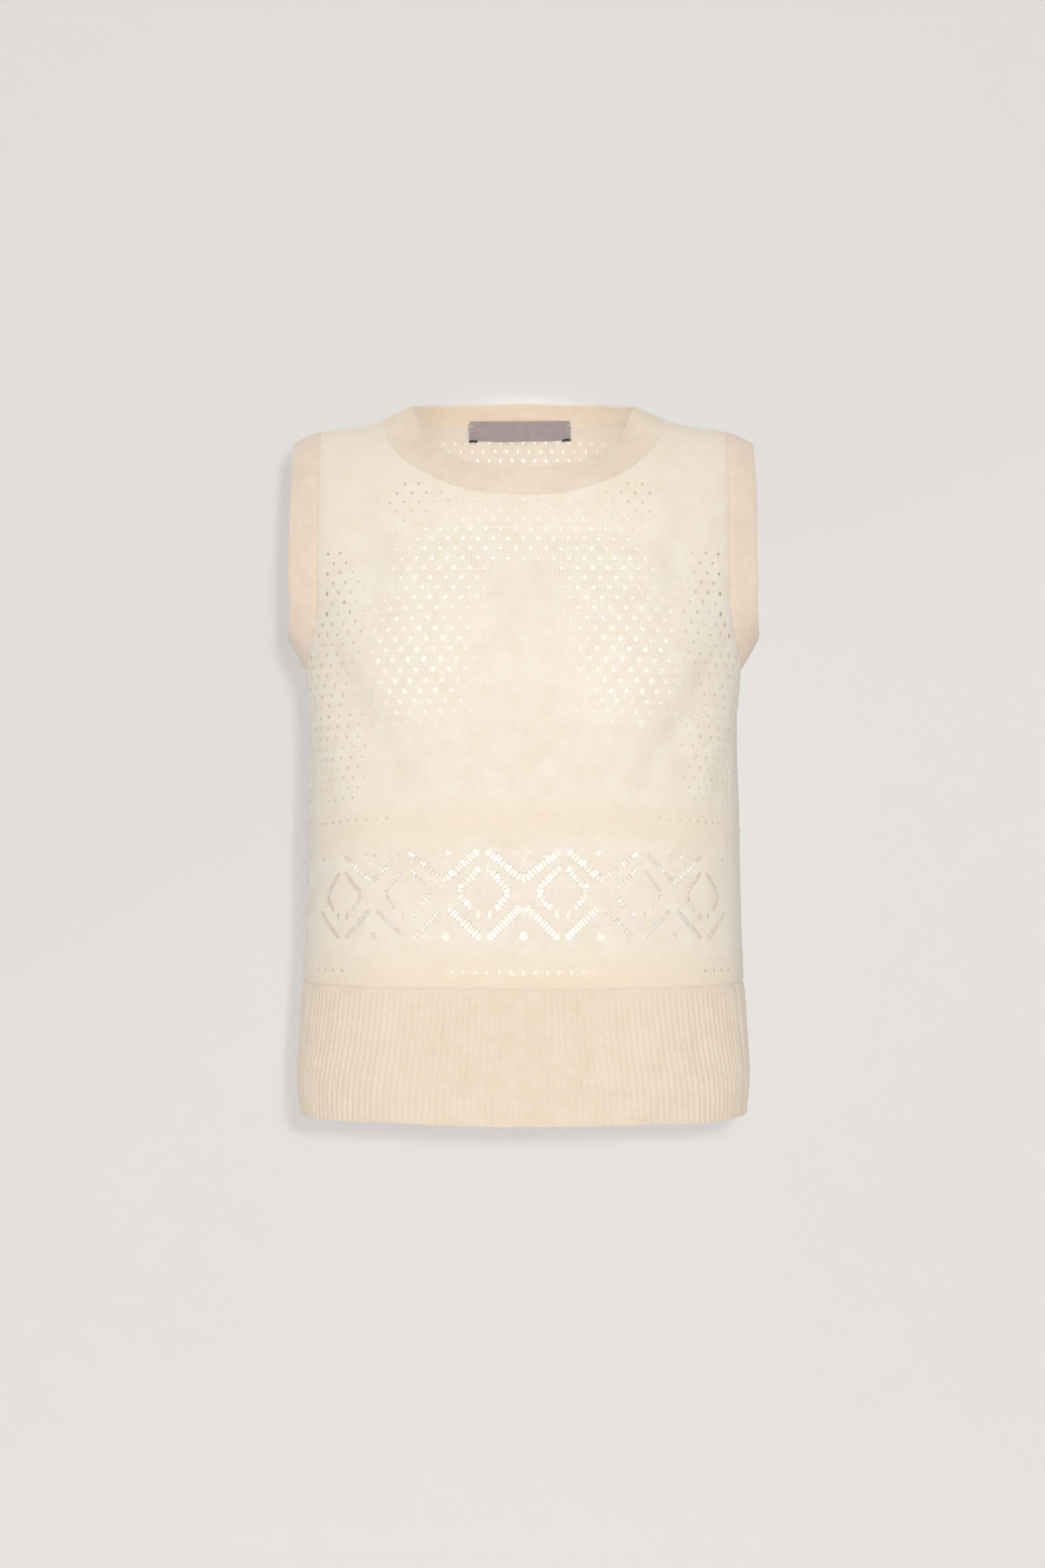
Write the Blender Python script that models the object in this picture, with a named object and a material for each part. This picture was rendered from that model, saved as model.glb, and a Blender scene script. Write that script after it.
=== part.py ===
"""Sleeveless knitted vest with a round neck, filled out as it is worn, with no wearer.

Metres, +Z up, the front faces -Y and the wearer's left is +X. The origin lies between the tops of the
shoulders. Every wall follows one cloth surface: "across" runs over a panel from -1 at one side seam to
1 at the other, "along" is the height, and above YOKE_LEVEL the length up the cloth from that level.
"""

import functools
import math
from collections import namedtuple

import bmesh
import bpy
import numpy as np
from mathutils import Vector
from mathutils.geometry import delaunay_2d_cdt

# Driving sizes
WALL = 0.0020               # thickness of the knitted cloth
SEAM_GAP = 0.0003           # between pieces that are sewn to each other
BAND_WIDTH = 0.024          # neckband and armhole bands
BAND_CROWN = 0.0006         # how far the middle of a band stands out
HEM_LEVEL = -0.557          # lower edge of the rib
RIB_TOP = -0.4505           # where the rib ends and the body begins
UNDERARM = -0.203           # armhole seam at the side
YOKE_LEVEL = -0.100
ROUNDNESS = 2.45            # exponent of the level sections, 2 is an ellipse

# Level sections of the worn body
Section = namedtuple("Section", "height half_width front_depth back_depth")
SECTIONS = (
    Section(-0.557, 0.1782, 0.1085, 0.0985),
    Section(-0.530, 0.1808, 0.1110, 0.1010),
    Section(-0.492, 0.1790, 0.1100, 0.0990),
    Section(-0.452, 0.1769, 0.1085, 0.0965),
    Section(-0.410, 0.1752, 0.1080, 0.0945),
    Section(-0.360, 0.1740, 0.1087, 0.0930),
    Section(-0.311, 0.1728, 0.1110, 0.0932),
    Section(-0.265, 0.1710, 0.1150, 0.0960),
    Section(-0.230, 0.1710, 0.1180, 0.1000),
    Section(-0.203, 0.1730, 0.1165, 0.1032),
    Section(-0.170, 0.1790, 0.1100, 0.1055),
    Section(-0.135, 0.1825, 0.0985, 0.1055),
    Section(-0.100, 0.1840, 0.0855, 0.1040),
    Section(-0.060, 0.1840, 0.0735, 0.1010),
    Section(-0.020, 0.1840, 0.0650, 0.0985),
    Section(0.030, 0.1840, 0.0600, 0.0960),
)

# Top of the shoulders, seen from the front
Shoulder = namedtuple("Shoulder", "from_centre height")
SHOULDER_LINE = (
    Shoulder(0.000, 0.0220),
    Shoulder(0.045, 0.0185),
    Shoulder(0.084, 0.0085),
    Shoulder(0.106, 0.0007),
    Shoulder(0.128, -0.0060),
    Shoulder(0.166, -0.0122),
    Shoulder(0.190, -0.0235),
)
SHOULDER_ROUNDING = 2.2     # exponent of the curve over the shoulder
FRONT_ROUNDING = 0.100      # how far down the front that curve reaches
BACK_ROUNDING = 0.048

# How far in front of the widest line each side seam runs
SeamRun = namedtuple("SeamRun", "height forward")
SIDE_SEAM = (
    SeamRun(-0.557, 0.036),
    SeamRun(-0.504, 0.043),
    SeamRun(-0.427, 0.048),
    SeamRun(-0.325, 0.051),
    SeamRun(-0.273, 0.046),
    SeamRun(-0.250, 0.034),
    SeamRun(-0.225, 0.014),
    SeamRun(-0.203, 0.000),
)

# Knitting
COURSE = 0.00215            # height of a row of stitches
FRONT_STITCHES = 76         # from the centre line to a side seam
BACK_STITCHES = 92
StitchSpread = namedtuple("StitchSpread", "height wider_at_centre droop_at_side")
STITCH_SPREAD = (
    StitchSpread(-0.557, 0.05, 0.000),
    StitchSpread(-0.450, 0.00, 0.000),
    StitchSpread(-0.378, 0.06, 0.004),
    StitchSpread(-0.317, 0.12, 0.007),
    StitchSpread(-0.250, 0.04, 0.007),
    StitchSpread(-0.203, 0.00, 0.006),
    StitchSpread(-0.140, 0.00, 0.005),
)

# Neck and armhole seams
NECK_HALF_WIDTH = 0.111
NECK_FRONT_DROP = 0.0665
NECK_BACK_RISE = 0.004
NECK_STEPS = 22             # over the front, and over the back
ARMHOLE_X = 0.1628
SCOOP_TOP = -0.140          # where the straight armhole edge starts to curve
ARMHOLE_STEPS = 8
SCOOP_STEPS = 7

# How far the bands lean from the opening's axis towards its middle, in degrees. The axis is upright at the
# neck and sideways at an armhole. Share runs from the shoulder to the middle of the front or back, or to
# the underarm.
BandLean = namedtuple("BandLean", "share degrees")
NECK_LEAN_FRONT = (
    BandLean(0.0, 69),
    BandLean(0.5, 47),
    BandLean(1.0, 27),
)
NECK_LEAN_BACK = (
    BandLean(0.0, 69),
    BandLean(0.5, 55),
    BandLean(1.0, 47),
)
ARM_LEAN = (
    BandLean(0.00, 25),
    BandLean(0.30, 19),
    BandLean(0.53, 20),
    BandLean(0.70, 33),
    BandLean(0.85, 53),
    BandLean(1.00, 68),
)

# Ribs of the hem, each two stitches wide
RIB_HEIGHT = 0.0011
RIB_SINK = 0.0004           # the furrows lie this far inside the body's surface
RIB_LEVELS = (RIB_TOP, -0.486, -0.520, -0.548, HEM_LEVEL)
RIBS_PER_INNER_STEP = 4

# Openwork band: diamonds and the valleys between them, in stitches and courses
DIAMOND_LEVEL = -0.378
DIAMOND_STITCHES = 24
SLOT_WIDTH = 0.0042
SLOT_BAR = 0.0022           # cloth left between two slots of one line
Line = namedtuple("Line", "from_stitch from_course to_stitch to_course slots")
DIAMOND_LINES = (
    Line(1.5, 15.6, 11.3, 6.3, 2),
    Line(1.5, -15.6, 11.3, -4.6, 2),
    Line(1.2, 8.6, 6.9, 2.6, 1),
    Line(1.2, -8.6, 6.9, -2.6, 1),
)
CLUSTER_HALF = 0.0031
CLUSTER_COURSES = (13.8, -14.2)

# Label inside the back of the neck
LABEL_WIDTH = 0.085
LABEL_OFF_CENTRE = -0.003
LABEL_ON_BAND = 0.0060      # how far the label reaches up the neckband
LABEL_BELOW_SEAM = 0.0015   # first row of points on the back panel
LABEL_DROP = 0.0095
LABEL_GAP = 0.0005
LABEL_WALL = 0.0008
LABEL_COLUMNS, LABEL_ROWS = 8, 2

FRONT, BACK = -1, 1         # which way a panel faces along Y
WALE_STEPS = 160            # wales that the surface is worked out on
GRID_STEP = 0.0155          # between the inner points of a panel

Colour = namedtuple("Colour", "red green blue roughness")
WOOL = Colour(0.84, 0.72, 0.58, 0.95)
BAND_WOOL = Colour(0.80, 0.66, 0.53, 0.95)
SATIN = Colour(0.38, 0.33, 0.35, 0.45)


def smooth(table, column, at):
    """Cubic curve through one column of a table, over the table's first column."""
    xs = np.array([row[0] for row in table])
    ys = np.array([getattr(row, column) for row in table])
    slopes = np.gradient(ys, xs)
    i = np.clip(np.searchsorted(xs, at) - 1, 0, len(xs) - 2)
    width = xs[i + 1] - xs[i]
    t = np.clip((at - xs[i]) / width, 0, 1)
    start = (1 + 2 * t) * (1 - t) ** 2 * ys[i] + t * (1 - t) ** 2 * width * slopes[i]
    end = t * t * (3 - 2 * t) * ys[i + 1] + t * t * (t - 1) * width * slopes[i + 1]
    return start + end


def depth_of(panel, height):
    return smooth(SECTIONS, "front_depth" if panel == FRONT else "back_depth", height)


def shoulder_curve(panel, below_shoulder):
    """Share of the full depth that the cloth has reached this far below the top of the shoulder."""
    reach = FRONT_ROUNDING if panel == FRONT else BACK_ROUNDING
    left = 1 - np.clip(below_shoulder / reach, 0, 1)
    return (1 - left ** SHOULDER_ROUNDING) ** (1 / SHOULDER_ROUNDING)


def half_section(panel, height):
    """x, outward y and running length of a level section, from the panel's centre line round the side."""
    angle = np.linspace(0, math.pi / 2, 60)
    power = 2 / ROUNDNESS
    x = smooth(SECTIONS, "half_width", height) * np.sin(angle) ** power
    near = depth_of(panel, height) * np.cos(angle) ** power
    far = depth_of(-panel, height) * np.cos(angle) ** power
    xs = np.concatenate([x, x[-2::-1]])
    ys = np.concatenate([near, -far[-2::-1]])
    steps = np.hypot(np.diff(xs), np.diff(ys))
    return xs, ys, np.concatenate([[0.0], np.cumsum(steps)])


def length_to_seam(panel, height):
    xs, ys, length = half_section(panel, height)
    seam = -panel * smooth(SIDE_SEAM, "forward", height)
    return np.interp(-seam, -ys, length)


def length_to_armhole(panel, height):
    xs, ys, length = half_section(panel, height)
    quarter = len(xs) // 2 + 1
    return np.interp(ARMHOLE_X, xs[:quarter], length[:quarter])


@functools.lru_cache(maxsize=None)
def armhole_across(panel):
    """Where the straight armhole edge lies across the panel."""
    return float(length_to_armhole(panel, UNDERARM) / length_to_seam(panel, UNDERARM))


@functools.lru_cache(maxsize=None)
def cloth(panel):
    """Half a panel as arrays of along, x, outward y and z, over wales from the centre out and rows upward."""
    shares = np.linspace(0, 1, WALE_STEPS + 1)
    rows = []
    for height in np.linspace(HEM_LEVEL, YOKE_LEVEL, 140):
        xs, ys, length = half_section(panel, height)
        if height <= UNDERARM:
            reach = length_to_seam(panel, height)
        else:
            reach = length_to_armhole(panel, height) / armhole_across(panel)
        spread = smooth(STITCH_SPREAD, "wider_at_centre", height)
        run = reach * shares * (1 + spread * (1 - shares * shares))
        x = np.interp(run, length, xs)
        below = smooth(SHOULDER_LINE, "height", x) - height
        y = np.interp(run, length, ys) * shoulder_curve(panel, below)
        rows.append((np.full_like(x, height), x, y, np.full_like(x, height)))
    top = smooth(SHOULDER_LINE, "height", x)
    for left in (1 - np.linspace(0, 1, 81)[1:]) ** 2:
        height = top - (top - YOKE_LEVEL) * left
        narrowing = 1 - (x / smooth(SECTIONS, "half_width", height)) ** ROUNDNESS
        depth = depth_of(panel, height) * shoulder_curve(panel, top - height)
        y = depth * narrowing ** (1 / ROUNDNESS)
        along = rows[-1][0] + np.hypot(y - rows[-1][2], height - rows[-1][3])
        rows.append((along, x, y, height))
    return np.array(rows).transpose(1, 2, 0)


def wale(panel, across):
    """One upright line of stitches on the right half: along, x, y, z, from the hem to the shoulder."""
    place = min(abs(across), 1) * WALE_STEPS
    first = min(int(place), WALE_STEPS - 1)
    share = place - first
    return cloth(panel)[:, first] * (1 - share) + cloth(panel)[:, first + 1] * share


def cloth_point(panel, across, along):
    """A point of the outer surface of the cloth."""
    runs, xs, ys, zs = wale(panel, abs(across))
    x = math.copysign(np.interp(along, runs, xs), across)
    return Vector((x, panel * np.interp(along, runs, ys), np.interp(along, runs, zs)))


def cloth_normal(panel, across, along):
    """Outward direction of the cloth, from its neighbours on both sides."""
    side, rise = 0.004, 0.0008
    top = float(wale(panel, abs(across))[0][-1])
    low, high = along - rise, min(along + rise, top)
    sideways = cloth_point(panel, across + side, along) - cloth_point(panel, across - side, along)
    upward = cloth_point(panel, across, high) - cloth_point(panel, across, low)
    return (sideways.cross(upward) * -panel).normalized()


def across_of_x(panel, x):
    """Across value of the yoke's wale at x, on either side."""
    reached = cloth(panel)[1, :, -1]
    return math.copysign(float(np.interp(abs(x), reached, np.linspace(0, 1, len(reached)))), x)


def along_of_height(panel, across, height):
    runs, _, _, zs = wale(panel, abs(across))
    return float(np.interp(height, zs, runs))


def shoulder_along(panel, across):
    return float(wale(panel, abs(across))[0][-1])


def neck_height(panel, x):
    side_height = float(smooth(SHOULDER_LINE, "height", NECK_HALF_WIDTH))
    change = -NECK_FRONT_DROP if panel == FRONT else NECK_BACK_RISE
    return side_height + change * math.sqrt(max(1 - (x / NECK_HALF_WIDTH) ** 2, 0))


def neck_seam(panel):
    """Across and along of the neck seam, from the left shoulder over the middle to the right one."""
    points = []
    for i in range(NECK_STEPS + 1):
        x = NECK_HALF_WIDTH * math.cos(math.pi * i / NECK_STEPS)
        across = across_of_x(panel, x)
        if i in (0, NECK_STEPS):
            points.append((across, shoulder_along(panel, across)))
        else:
            points.append((across, along_of_height(panel, across, neck_height(panel, x))))
    return points


def armhole_seam(panel):
    """Across and along of the right armhole's seam, from the shoulder to the underarm."""
    edge = armhole_across(panel)
    top = shoulder_along(panel, edge)
    points = [(edge, float(a)) for a in np.linspace(top, SCOOP_TOP, ARMHOLE_STEPS + 1)]
    for i in range(1, SCOOP_STEPS + 1):
        angle = math.pi / 2 * i / SCOOP_STEPS
        drop = (SCOOP_TOP - UNDERARM) * math.sin(angle)
        points.append((1 - (1 - edge) * math.cos(angle), SCOOP_TOP - drop))
    return points


def panel_outline(panel, scale):
    """Closed outline of a body panel in the flat, anticlockwise from its lower left corner."""
    inset = SEAM_GAP / 2 / scale
    side_levels = np.linspace(RIB_TOP + SEAM_GAP, UNDERARM, 10)
    right = [(1 - inset, float(level)) for level in side_levels[:-1]]
    right += [(min(a, 1 - inset), c) for a, c in reversed(armhole_seam(panel))]
    right[-1] = (right[-1][0], right[-1][1] - SEAM_GAP / 2)
    neck = neck_seam(panel)
    for share in (0.75, 0.5, 0.25):
        across = neck[0][0] + (armhole_across(panel) - neck[0][0]) * share
        right.append((across, shoulder_along(panel, across) - SEAM_GAP / 2))
    left = [(-a, c) for a, c in reversed(right)]
    neck[0] = (neck[0][0], neck[0][1] - SEAM_GAP / 2)
    neck[-1] = (-neck[0][0], neck[0][1])
    bottom = [(float(a), RIB_TOP + SEAM_GAP) for a in np.linspace(-1, 1, 31)[1:-1]]
    return right + neck + left + bottom


def pattern_point(panel, stitch, course):
    """Across and along of a place in the openwork band."""
    across = stitch / (FRONT_STITCHES if panel == FRONT else BACK_STITCHES)
    droop = smooth(STITCH_SPREAD, "droop_at_side", DIAMOND_LEVEL) * across * across
    return across, DIAMOND_LEVEL + course * COURSE - float(droop)


def slot_corners(start, end, scale):
    """Corners of a slot along a line between two flat points."""
    start, end = Vector((start[0] * scale, start[1])), Vector((end[0] * scale, end[1]))
    side = (end - start).normalized().orthogonal() * SLOT_WIDTH / 2
    corners = [start - side, end - side, end + side, start + side]
    return [(corner.x / scale, corner.y) for corner in corners]


def diamond_slots(panel, centre, scale):
    """Slots of one diamond: its outer sides and the ring inside them."""
    slots = []
    for line in DIAMOND_LINES:
        for mirror in (-1, 1):
            a = pattern_point(panel, centre + mirror * line.from_stitch, line.from_course)
            b = pattern_point(panel, centre + mirror * line.to_stitch, line.to_course)
            length = math.hypot((b[0] - a[0]) * scale, b[1] - a[1])
            bar = SLOT_BAR / length
            share = (1 - bar * (line.slots - 1)) / line.slots
            for i in range(line.slots):
                low = i * (share + bar)
                ends = [(a[0] + (b[0] - a[0]) * t, a[1] + (b[1] - a[1]) * t) for t in (low, low + share)]
                slots.append(slot_corners(*ends, scale))
    return slots


def cluster_holes(panel, valley, scale):
    """The eyelet clusters above and below a valley: a wedge and a lozenge."""
    holes = []
    for course in CLUSTER_COURSES:
        across, along = pattern_point(panel, valley, course)
        wide = CLUSTER_HALF / scale
        if course > 0:
            holes.append([(across - wide, along + CLUSTER_HALF), (across, along - CLUSTER_HALF),
                          (across + wide, along + CLUSTER_HALF)])
        else:
            holes.append([(across - wide, along), (across, along - CLUSTER_HALF),
                          (across + wide, along), (across, along + CLUSTER_HALF)])
    return holes


def openwork_holes(panel, scale):
    """All holes of the band that stay clear of the side seams."""
    stitches = FRONT_STITCHES if panel == FRONT else BACK_STITCHES
    holes = []
    repeats = stitches // DIAMOND_STITCHES + 1
    for repeat in range(-repeats, repeats + 1):
        holes += cluster_holes(panel, repeat * DIAMOND_STITCHES, scale)
        holes += diamond_slots(panel, (repeat + 0.5) * DIAMOND_STITCHES, scale)
    clear = 1 - 0.004 / scale
    return [hole for hole in holes if max(abs(across) for across, _ in hole) < clear]


def inside(polygon, x, y):
    """Whether a flat point lies in a polygon, by counting crossings."""
    found = False
    for (ax, ay), (bx, by) in zip(polygon, polygon[1:] + polygon[:1]):
        if (ay > y) != (by > y) and x < ax + (bx - ax) * (y - ay) / (by - ay):
            found = not found
    return found


def clear_of(polygon, x, y, distance):
    """Whether a flat point is further than a distance from every side of a polygon."""
    for (ax, ay), (bx, by) in zip(polygon, polygon[1:] + polygon[:1]):
        length2 = (bx - ax) ** 2 + (by - ay) ** 2
        t = min(max(((x - ax) * (bx - ax) + (y - ay) * (by - ay)) / length2, 0), 1)
        if math.hypot(x - ax - (bx - ax) * t, y - ay - (by - ay) * t) < distance:
            return False
    return True


def inner_points(outline, keep_off):
    """Grid of points inside the outline, clear of its edge and of every hole or patch."""
    xs, ys = [p[0] for p in outline], [p[1] for p in outline]
    columns = round((max(xs) - min(xs)) / GRID_STEP)
    rows = round((max(ys) - min(ys)) / GRID_STEP)
    points = []
    for x in np.linspace(min(xs), max(xs), columns + 1):
        for y in np.linspace(min(ys), max(ys), rows + 1):
            x, y = float(x), float(y)
            if not inside(outline, x, y) or not clear_of(outline, x, y, 0.4 * GRID_STEP):
                continue
            if all(clear_of(loop, x, y, 0.2 * GRID_STEP) and not inside(loop, x, y) for loop in keep_off):
                points.append((x, y))
    return points


def flat_mesh(outline, holes, patch):
    """Triangles over the flat outline, without its holes. Patch is a grid of points to keep as it is."""
    points, edges = [], []
    rim = patch[0] + [row[-1] for row in patch[1:-1]] + patch[-1][::-1] + [row[0] for row in patch[-2:0:-1]] \
        if patch else []
    for loop in [outline] + holes + [rim]:
        first = len(points)
        points += loop
        edges += [(first + i, first + (i + 1) % len(loop)) for i in range(len(loop))]
    for row in patch[1:-1]:
        points += row[1:-1]
    points += inner_points(outline, holes + [rim] if patch else holes)
    made = delaunay_2d_cdt([Vector(p) for p in points], edges, [], 0, 1e-7)
    corners, faces = made[0], made[2]
    kept = []
    for face in faces:
        x = sum(corners[i].x for i in face) / 3
        y = sum(corners[i].y for i in face) / 3
        if inside(outline, x, y) and not any(inside(hole, x, y) for hole in holes):
            kept.append(tuple(face))
    return corners, kept


def add_object(name, mesh_builder, colour):
    """Object with a matt material from a bmesh whose faces already point out."""
    mesh = bpy.data.meshes.new(name)
    mesh_builder.to_mesh(mesh)
    mesh_builder.free()
    material = bpy.data.materials.new(name)
    material.use_nodes = True
    shader = material.node_tree.nodes["Principled BSDF"]
    shader.inputs["Base Color"].default_value = (colour.red, colour.green, colour.blue, 1.0)
    shader.inputs["Roughness"].default_value = colour.roughness
    shader.inputs["Metallic"].default_value = 0.0
    mesh.materials.append(material)
    made = bpy.data.objects.new(name, mesh)
    bpy.context.scene.collection.objects.link(made)
    return made


def close_wall(builder, outer, inner, faces):
    """Faces on both skins of a wall, and a rim along every open edge. Faces run anticlockwise outside."""
    count = {}
    for face in faces:
        builder.faces.new([outer[i] for i in face])
        builder.faces.new([inner[i] for i in reversed(face)])
        for a, b in zip(face, face[1:] + face[:1]):
            count[frozenset((a, b))] = count.get(frozenset((a, b)), 0) + 1
    for face in faces:
        for a, b in zip(face, face[1:] + face[:1]):
            if count[frozenset((a, b))] == 1:
                builder.faces.new([outer[b], outer[a], inner[a], inner[b]])


def body_panel(name, panel):
    """Front or back of the body, cut to its neck, armholes and side seams, with the openwork cut through."""
    scale = float(length_to_seam(panel, DIAMOND_LEVEL))
    outline = [(across * scale, along) for across, along in panel_outline(panel, scale)]
    holes = [[(across * scale, along) for across, along in hole] for hole in openwork_holes(panel, scale)]
    patch = [[(across * scale, along) for across, along in row] for row in label_grid()]
    corners, faces = flat_mesh(outline, holes, patch if panel == BACK else [])
    builder = bmesh.new()
    outer, inner = [], []
    for corner in corners:
        across, along = corner.x / scale, corner.y
        point = cloth_point(panel, across, along)
        outer.append(builder.verts.new(point))
        inner.append(builder.verts.new(point - cloth_normal(panel, across, along) * WALL))
    if panel == BACK:
        faces = [face[::-1] for face in faces]
    close_wall(builder, outer, inner, faces)
    return add_object(name, builder, WOOL)


def hem_rib(name, panel):
    """Ribbed hem of one panel: ribs raised in the outer points, over a plain inside."""
    stitches = FRONT_STITCHES if panel == FRONT else BACK_STITCHES
    ribs = stitches
    edge = 1 - SEAM_GAP / 2 / float(length_to_seam(panel, RIB_TOP))
    outer_across = [edge * (2 * i / (2 * ribs) - 1) for i in range(2 * ribs + 1)]
    step = 2 * RIBS_PER_INNER_STEP
    builder = bmesh.new()
    outer, inner = [], []
    for level in RIB_LEVELS:
        out_row, in_row = [], []
        for i, across in enumerate(outer_across):
            normal = cloth_normal(panel, across, level)
            base = cloth_point(panel, across, level) - normal * RIB_SINK
            out_row.append(builder.verts.new(base + normal * (RIB_HEIGHT if i % 2 else 0.0)))
            if i % step == 0:
                in_row.append(builder.verts.new(base - normal * WALL))
        outer.append(out_row)
        inner.append(in_row)
    for upper, lower in zip(outer, outer[1:]):
        for i in range(len(upper) - 1):
            builder.faces.new([lower[i], lower[i + 1], upper[i + 1], upper[i]])
    for upper, lower in zip(inner, inner[1:]):
        for i in range(len(upper) - 1):
            builder.faces.new([upper[i], upper[i + 1], lower[i + 1], lower[i]])
        for outer_column, inner_column in ((0, 0), (-1, -1)):
            row = inner.index(upper)
            ring = [outer[row][outer_column], upper[inner_column], lower[inner_column],
                    outer[row + 1][outer_column]]
            builder.faces.new(ring if outer_column == 0 else ring[::-1])
    for i in range(len(inner[0]) - 1):
        outer_run = slice(i * step, (i + 1) * step + 1)
        top = outer[0][outer_run] + [inner[0][i + 1], inner[0][i]]
        bottom = outer[-1][outer_run] + [inner[-1][i + 1], inner[-1][i]]
        builder.faces.new(top)
        builder.faces.new(bottom[::-1])
    if panel == BACK:
        bmesh.ops.reverse_faces(builder, faces=builder.faces[:])
    return add_object(name, builder, WOOL)


def band_frame(tangent, axis, middle, point, degrees):
    """Directions in which a band stands off its seam and faces, at one point of the seam."""
    inward = axis.cross(tangent).normalized()
    if inward.dot(middle - point) < 0:
        inward.negate()
    angle = math.radians(degrees)
    lean = axis * math.cos(angle) + inward * math.sin(angle)
    facing = tangent.cross(lean).normalized()
    return lean, facing if facing.dot(point - middle) > 0 else -facing


def band(name, seam, axis, degrees):
    """Closed ring of band that stands off a seam. Seam holds points of the panels and their normals."""
    builder = bmesh.new()
    count = len(seam)
    centre = sum((point for point, _ in seam), Vector()) / count
    rings = []
    for i, (point, normal) in enumerate(seam):
        tangent = (seam[(i + 1) % count][0] - seam[i - 1][0]).normalized()
        lean, facing = band_frame(tangent, axis, centre, point, degrees[i])
        start, middle, end = lean * SEAM_GAP, lean * BAND_WIDTH / 2, lean * BAND_WIDTH
        rings.append([builder.verts.new(corner) for corner in (
            point + start,
            point + middle + facing * BAND_CROWN,
            point + end,
            point + end - facing * WALL,
            point + middle + facing * (BAND_CROWN - WALL),
            point + start - normal * WALL,
        )])
    for a, b in zip(rings, rings[1:] + rings[:1]):
        for i in range(len(a)):
            j = (i + 1) % len(a)
            builder.faces.new([a[i], a[j], b[j], b[i]])
    bmesh.ops.recalc_face_normals(builder, faces=builder.faces[:])
    return add_object(name, builder, BAND_WOOL)


def seam_frame(panel, across, along):
    return cloth_point(panel, across, along), cloth_normal(panel, across, along)


def neckband():
    seam, degrees = [], []
    for panel, table in ((FRONT, NECK_LEAN_FRONT), (BACK, NECK_LEAN_BACK)):
        points = neck_seam(panel)
        if panel == BACK:
            points = points[::-1]
        for i, (across, along) in enumerate(points[:-1]):
            seam.append(seam_frame(panel, across, along))
            degrees.append(float(smooth(table, "degrees", 1 - abs(1 - 2 * i / NECK_STEPS))))
    return band("neckband", seam, Vector((0, 0, 1)), degrees)


def armhole_band(name, side):
    """Band round one armhole. Side is 1 for the wearer's left, -1 for the right."""
    seam, degrees = [], []
    for panel in (FRONT, BACK):
        points = armhole_seam(panel)
        spots = list(enumerate(points))
        if panel == BACK:
            spots.reverse()
        for i, (across, along) in spots[:-1]:
            seam.append(seam_frame(panel, side * min(across, 0.999), along))
            degrees.append(float(smooth(ARM_LEAN, "degrees", i / (len(points) - 1))))
    return band(name, seam, Vector((side, 0, 0)), degrees)


def label_columns():
    return [LABEL_OFF_CENTRE + LABEL_WIDTH * (i / LABEL_COLUMNS - 0.5) for i in range(LABEL_COLUMNS + 1)]


def label_grid():
    """Rows of across and along on the back panel under the label, downward from the neckband's seam."""
    rows = []
    for row in range(LABEL_ROWS + 1):
        below = LABEL_BELOW_SEAM + (LABEL_DROP - LABEL_BELOW_SEAM) * row / LABEL_ROWS
        spots = [(across_of_x(BACK, x), neck_height(BACK, x) - below) for x in label_columns()]
        rows.append([(across, along_of_height(BACK, across, height)) for across, height in spots])
    return rows


def label_on_band(x):
    """Point and normal where the label's top edge lies on the inside of the neckband."""
    ends = []
    for spot in (x - 0.006, x, x + 0.006):
        across = across_of_x(BACK, spot)
        ends.append(cloth_point(BACK, across, along_of_height(BACK, across, neck_height(BACK, spot))))
    degrees = NECK_LEAN_BACK[-1].degrees
    lean, facing = band_frame((ends[2] - ends[0]).normalized(), Vector((0, 0, 1)), Vector(), ends[1], degrees)
    return ends[1] + lean * LABEL_ON_BAND, facing


def neck_label():
    """Blank woven label inside the back of the neck, over the seam of the neckband."""
    builder = bmesh.new()
    frames = [label_on_band(x) for x in label_columns()]
    for row in label_grid():
        frames += [seam_frame(BACK, across, along) for across, along in row]
    outer, inner, faces = [], [], []
    for point, normal in frames:
        outer.append(builder.verts.new(point - normal * (WALL + LABEL_GAP)))
        inner.append(builder.verts.new(point - normal * (WALL + LABEL_GAP + LABEL_WALL)))
    width = LABEL_COLUMNS + 1
    for row in range(LABEL_ROWS + 1):
        for a in range(row * width, row * width + LABEL_COLUMNS):
            faces.append((a, a + 1, a + 1 + width, a + width))
    close_wall(builder, outer, inner, faces)
    return add_object("neck_label", builder, SATIN)


def main():
    for old in list(bpy.data.objects):
        bpy.data.objects.remove(old, do_unlink=True)
    body_panel("front_panel", FRONT)
    body_panel("back_panel", BACK)
    hem_rib("front_hem_rib", FRONT)
    hem_rib("back_hem_rib", BACK)
    neckband()
    armhole_band("armhole_band_left", 1)
    armhole_band("armhole_band_right", -1)
    neck_label()


main()
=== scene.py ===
"""A knitted sleeveless vest as worn, with no wearer: cloth, ribs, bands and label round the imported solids.

Metres, +Z up, the front faces -Y. Every piece follows one cloth surface, as the solids do: "across" runs
over a panel from -1 at one side seam to 1 at the other, "along" is the height, and above YOKE_LEVEL the
length up the cloth. The knitting is laid out in stitches (sideways) and courses (upward) on that surface.
"""

import functools
import json
import math
from collections import namedtuple

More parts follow.
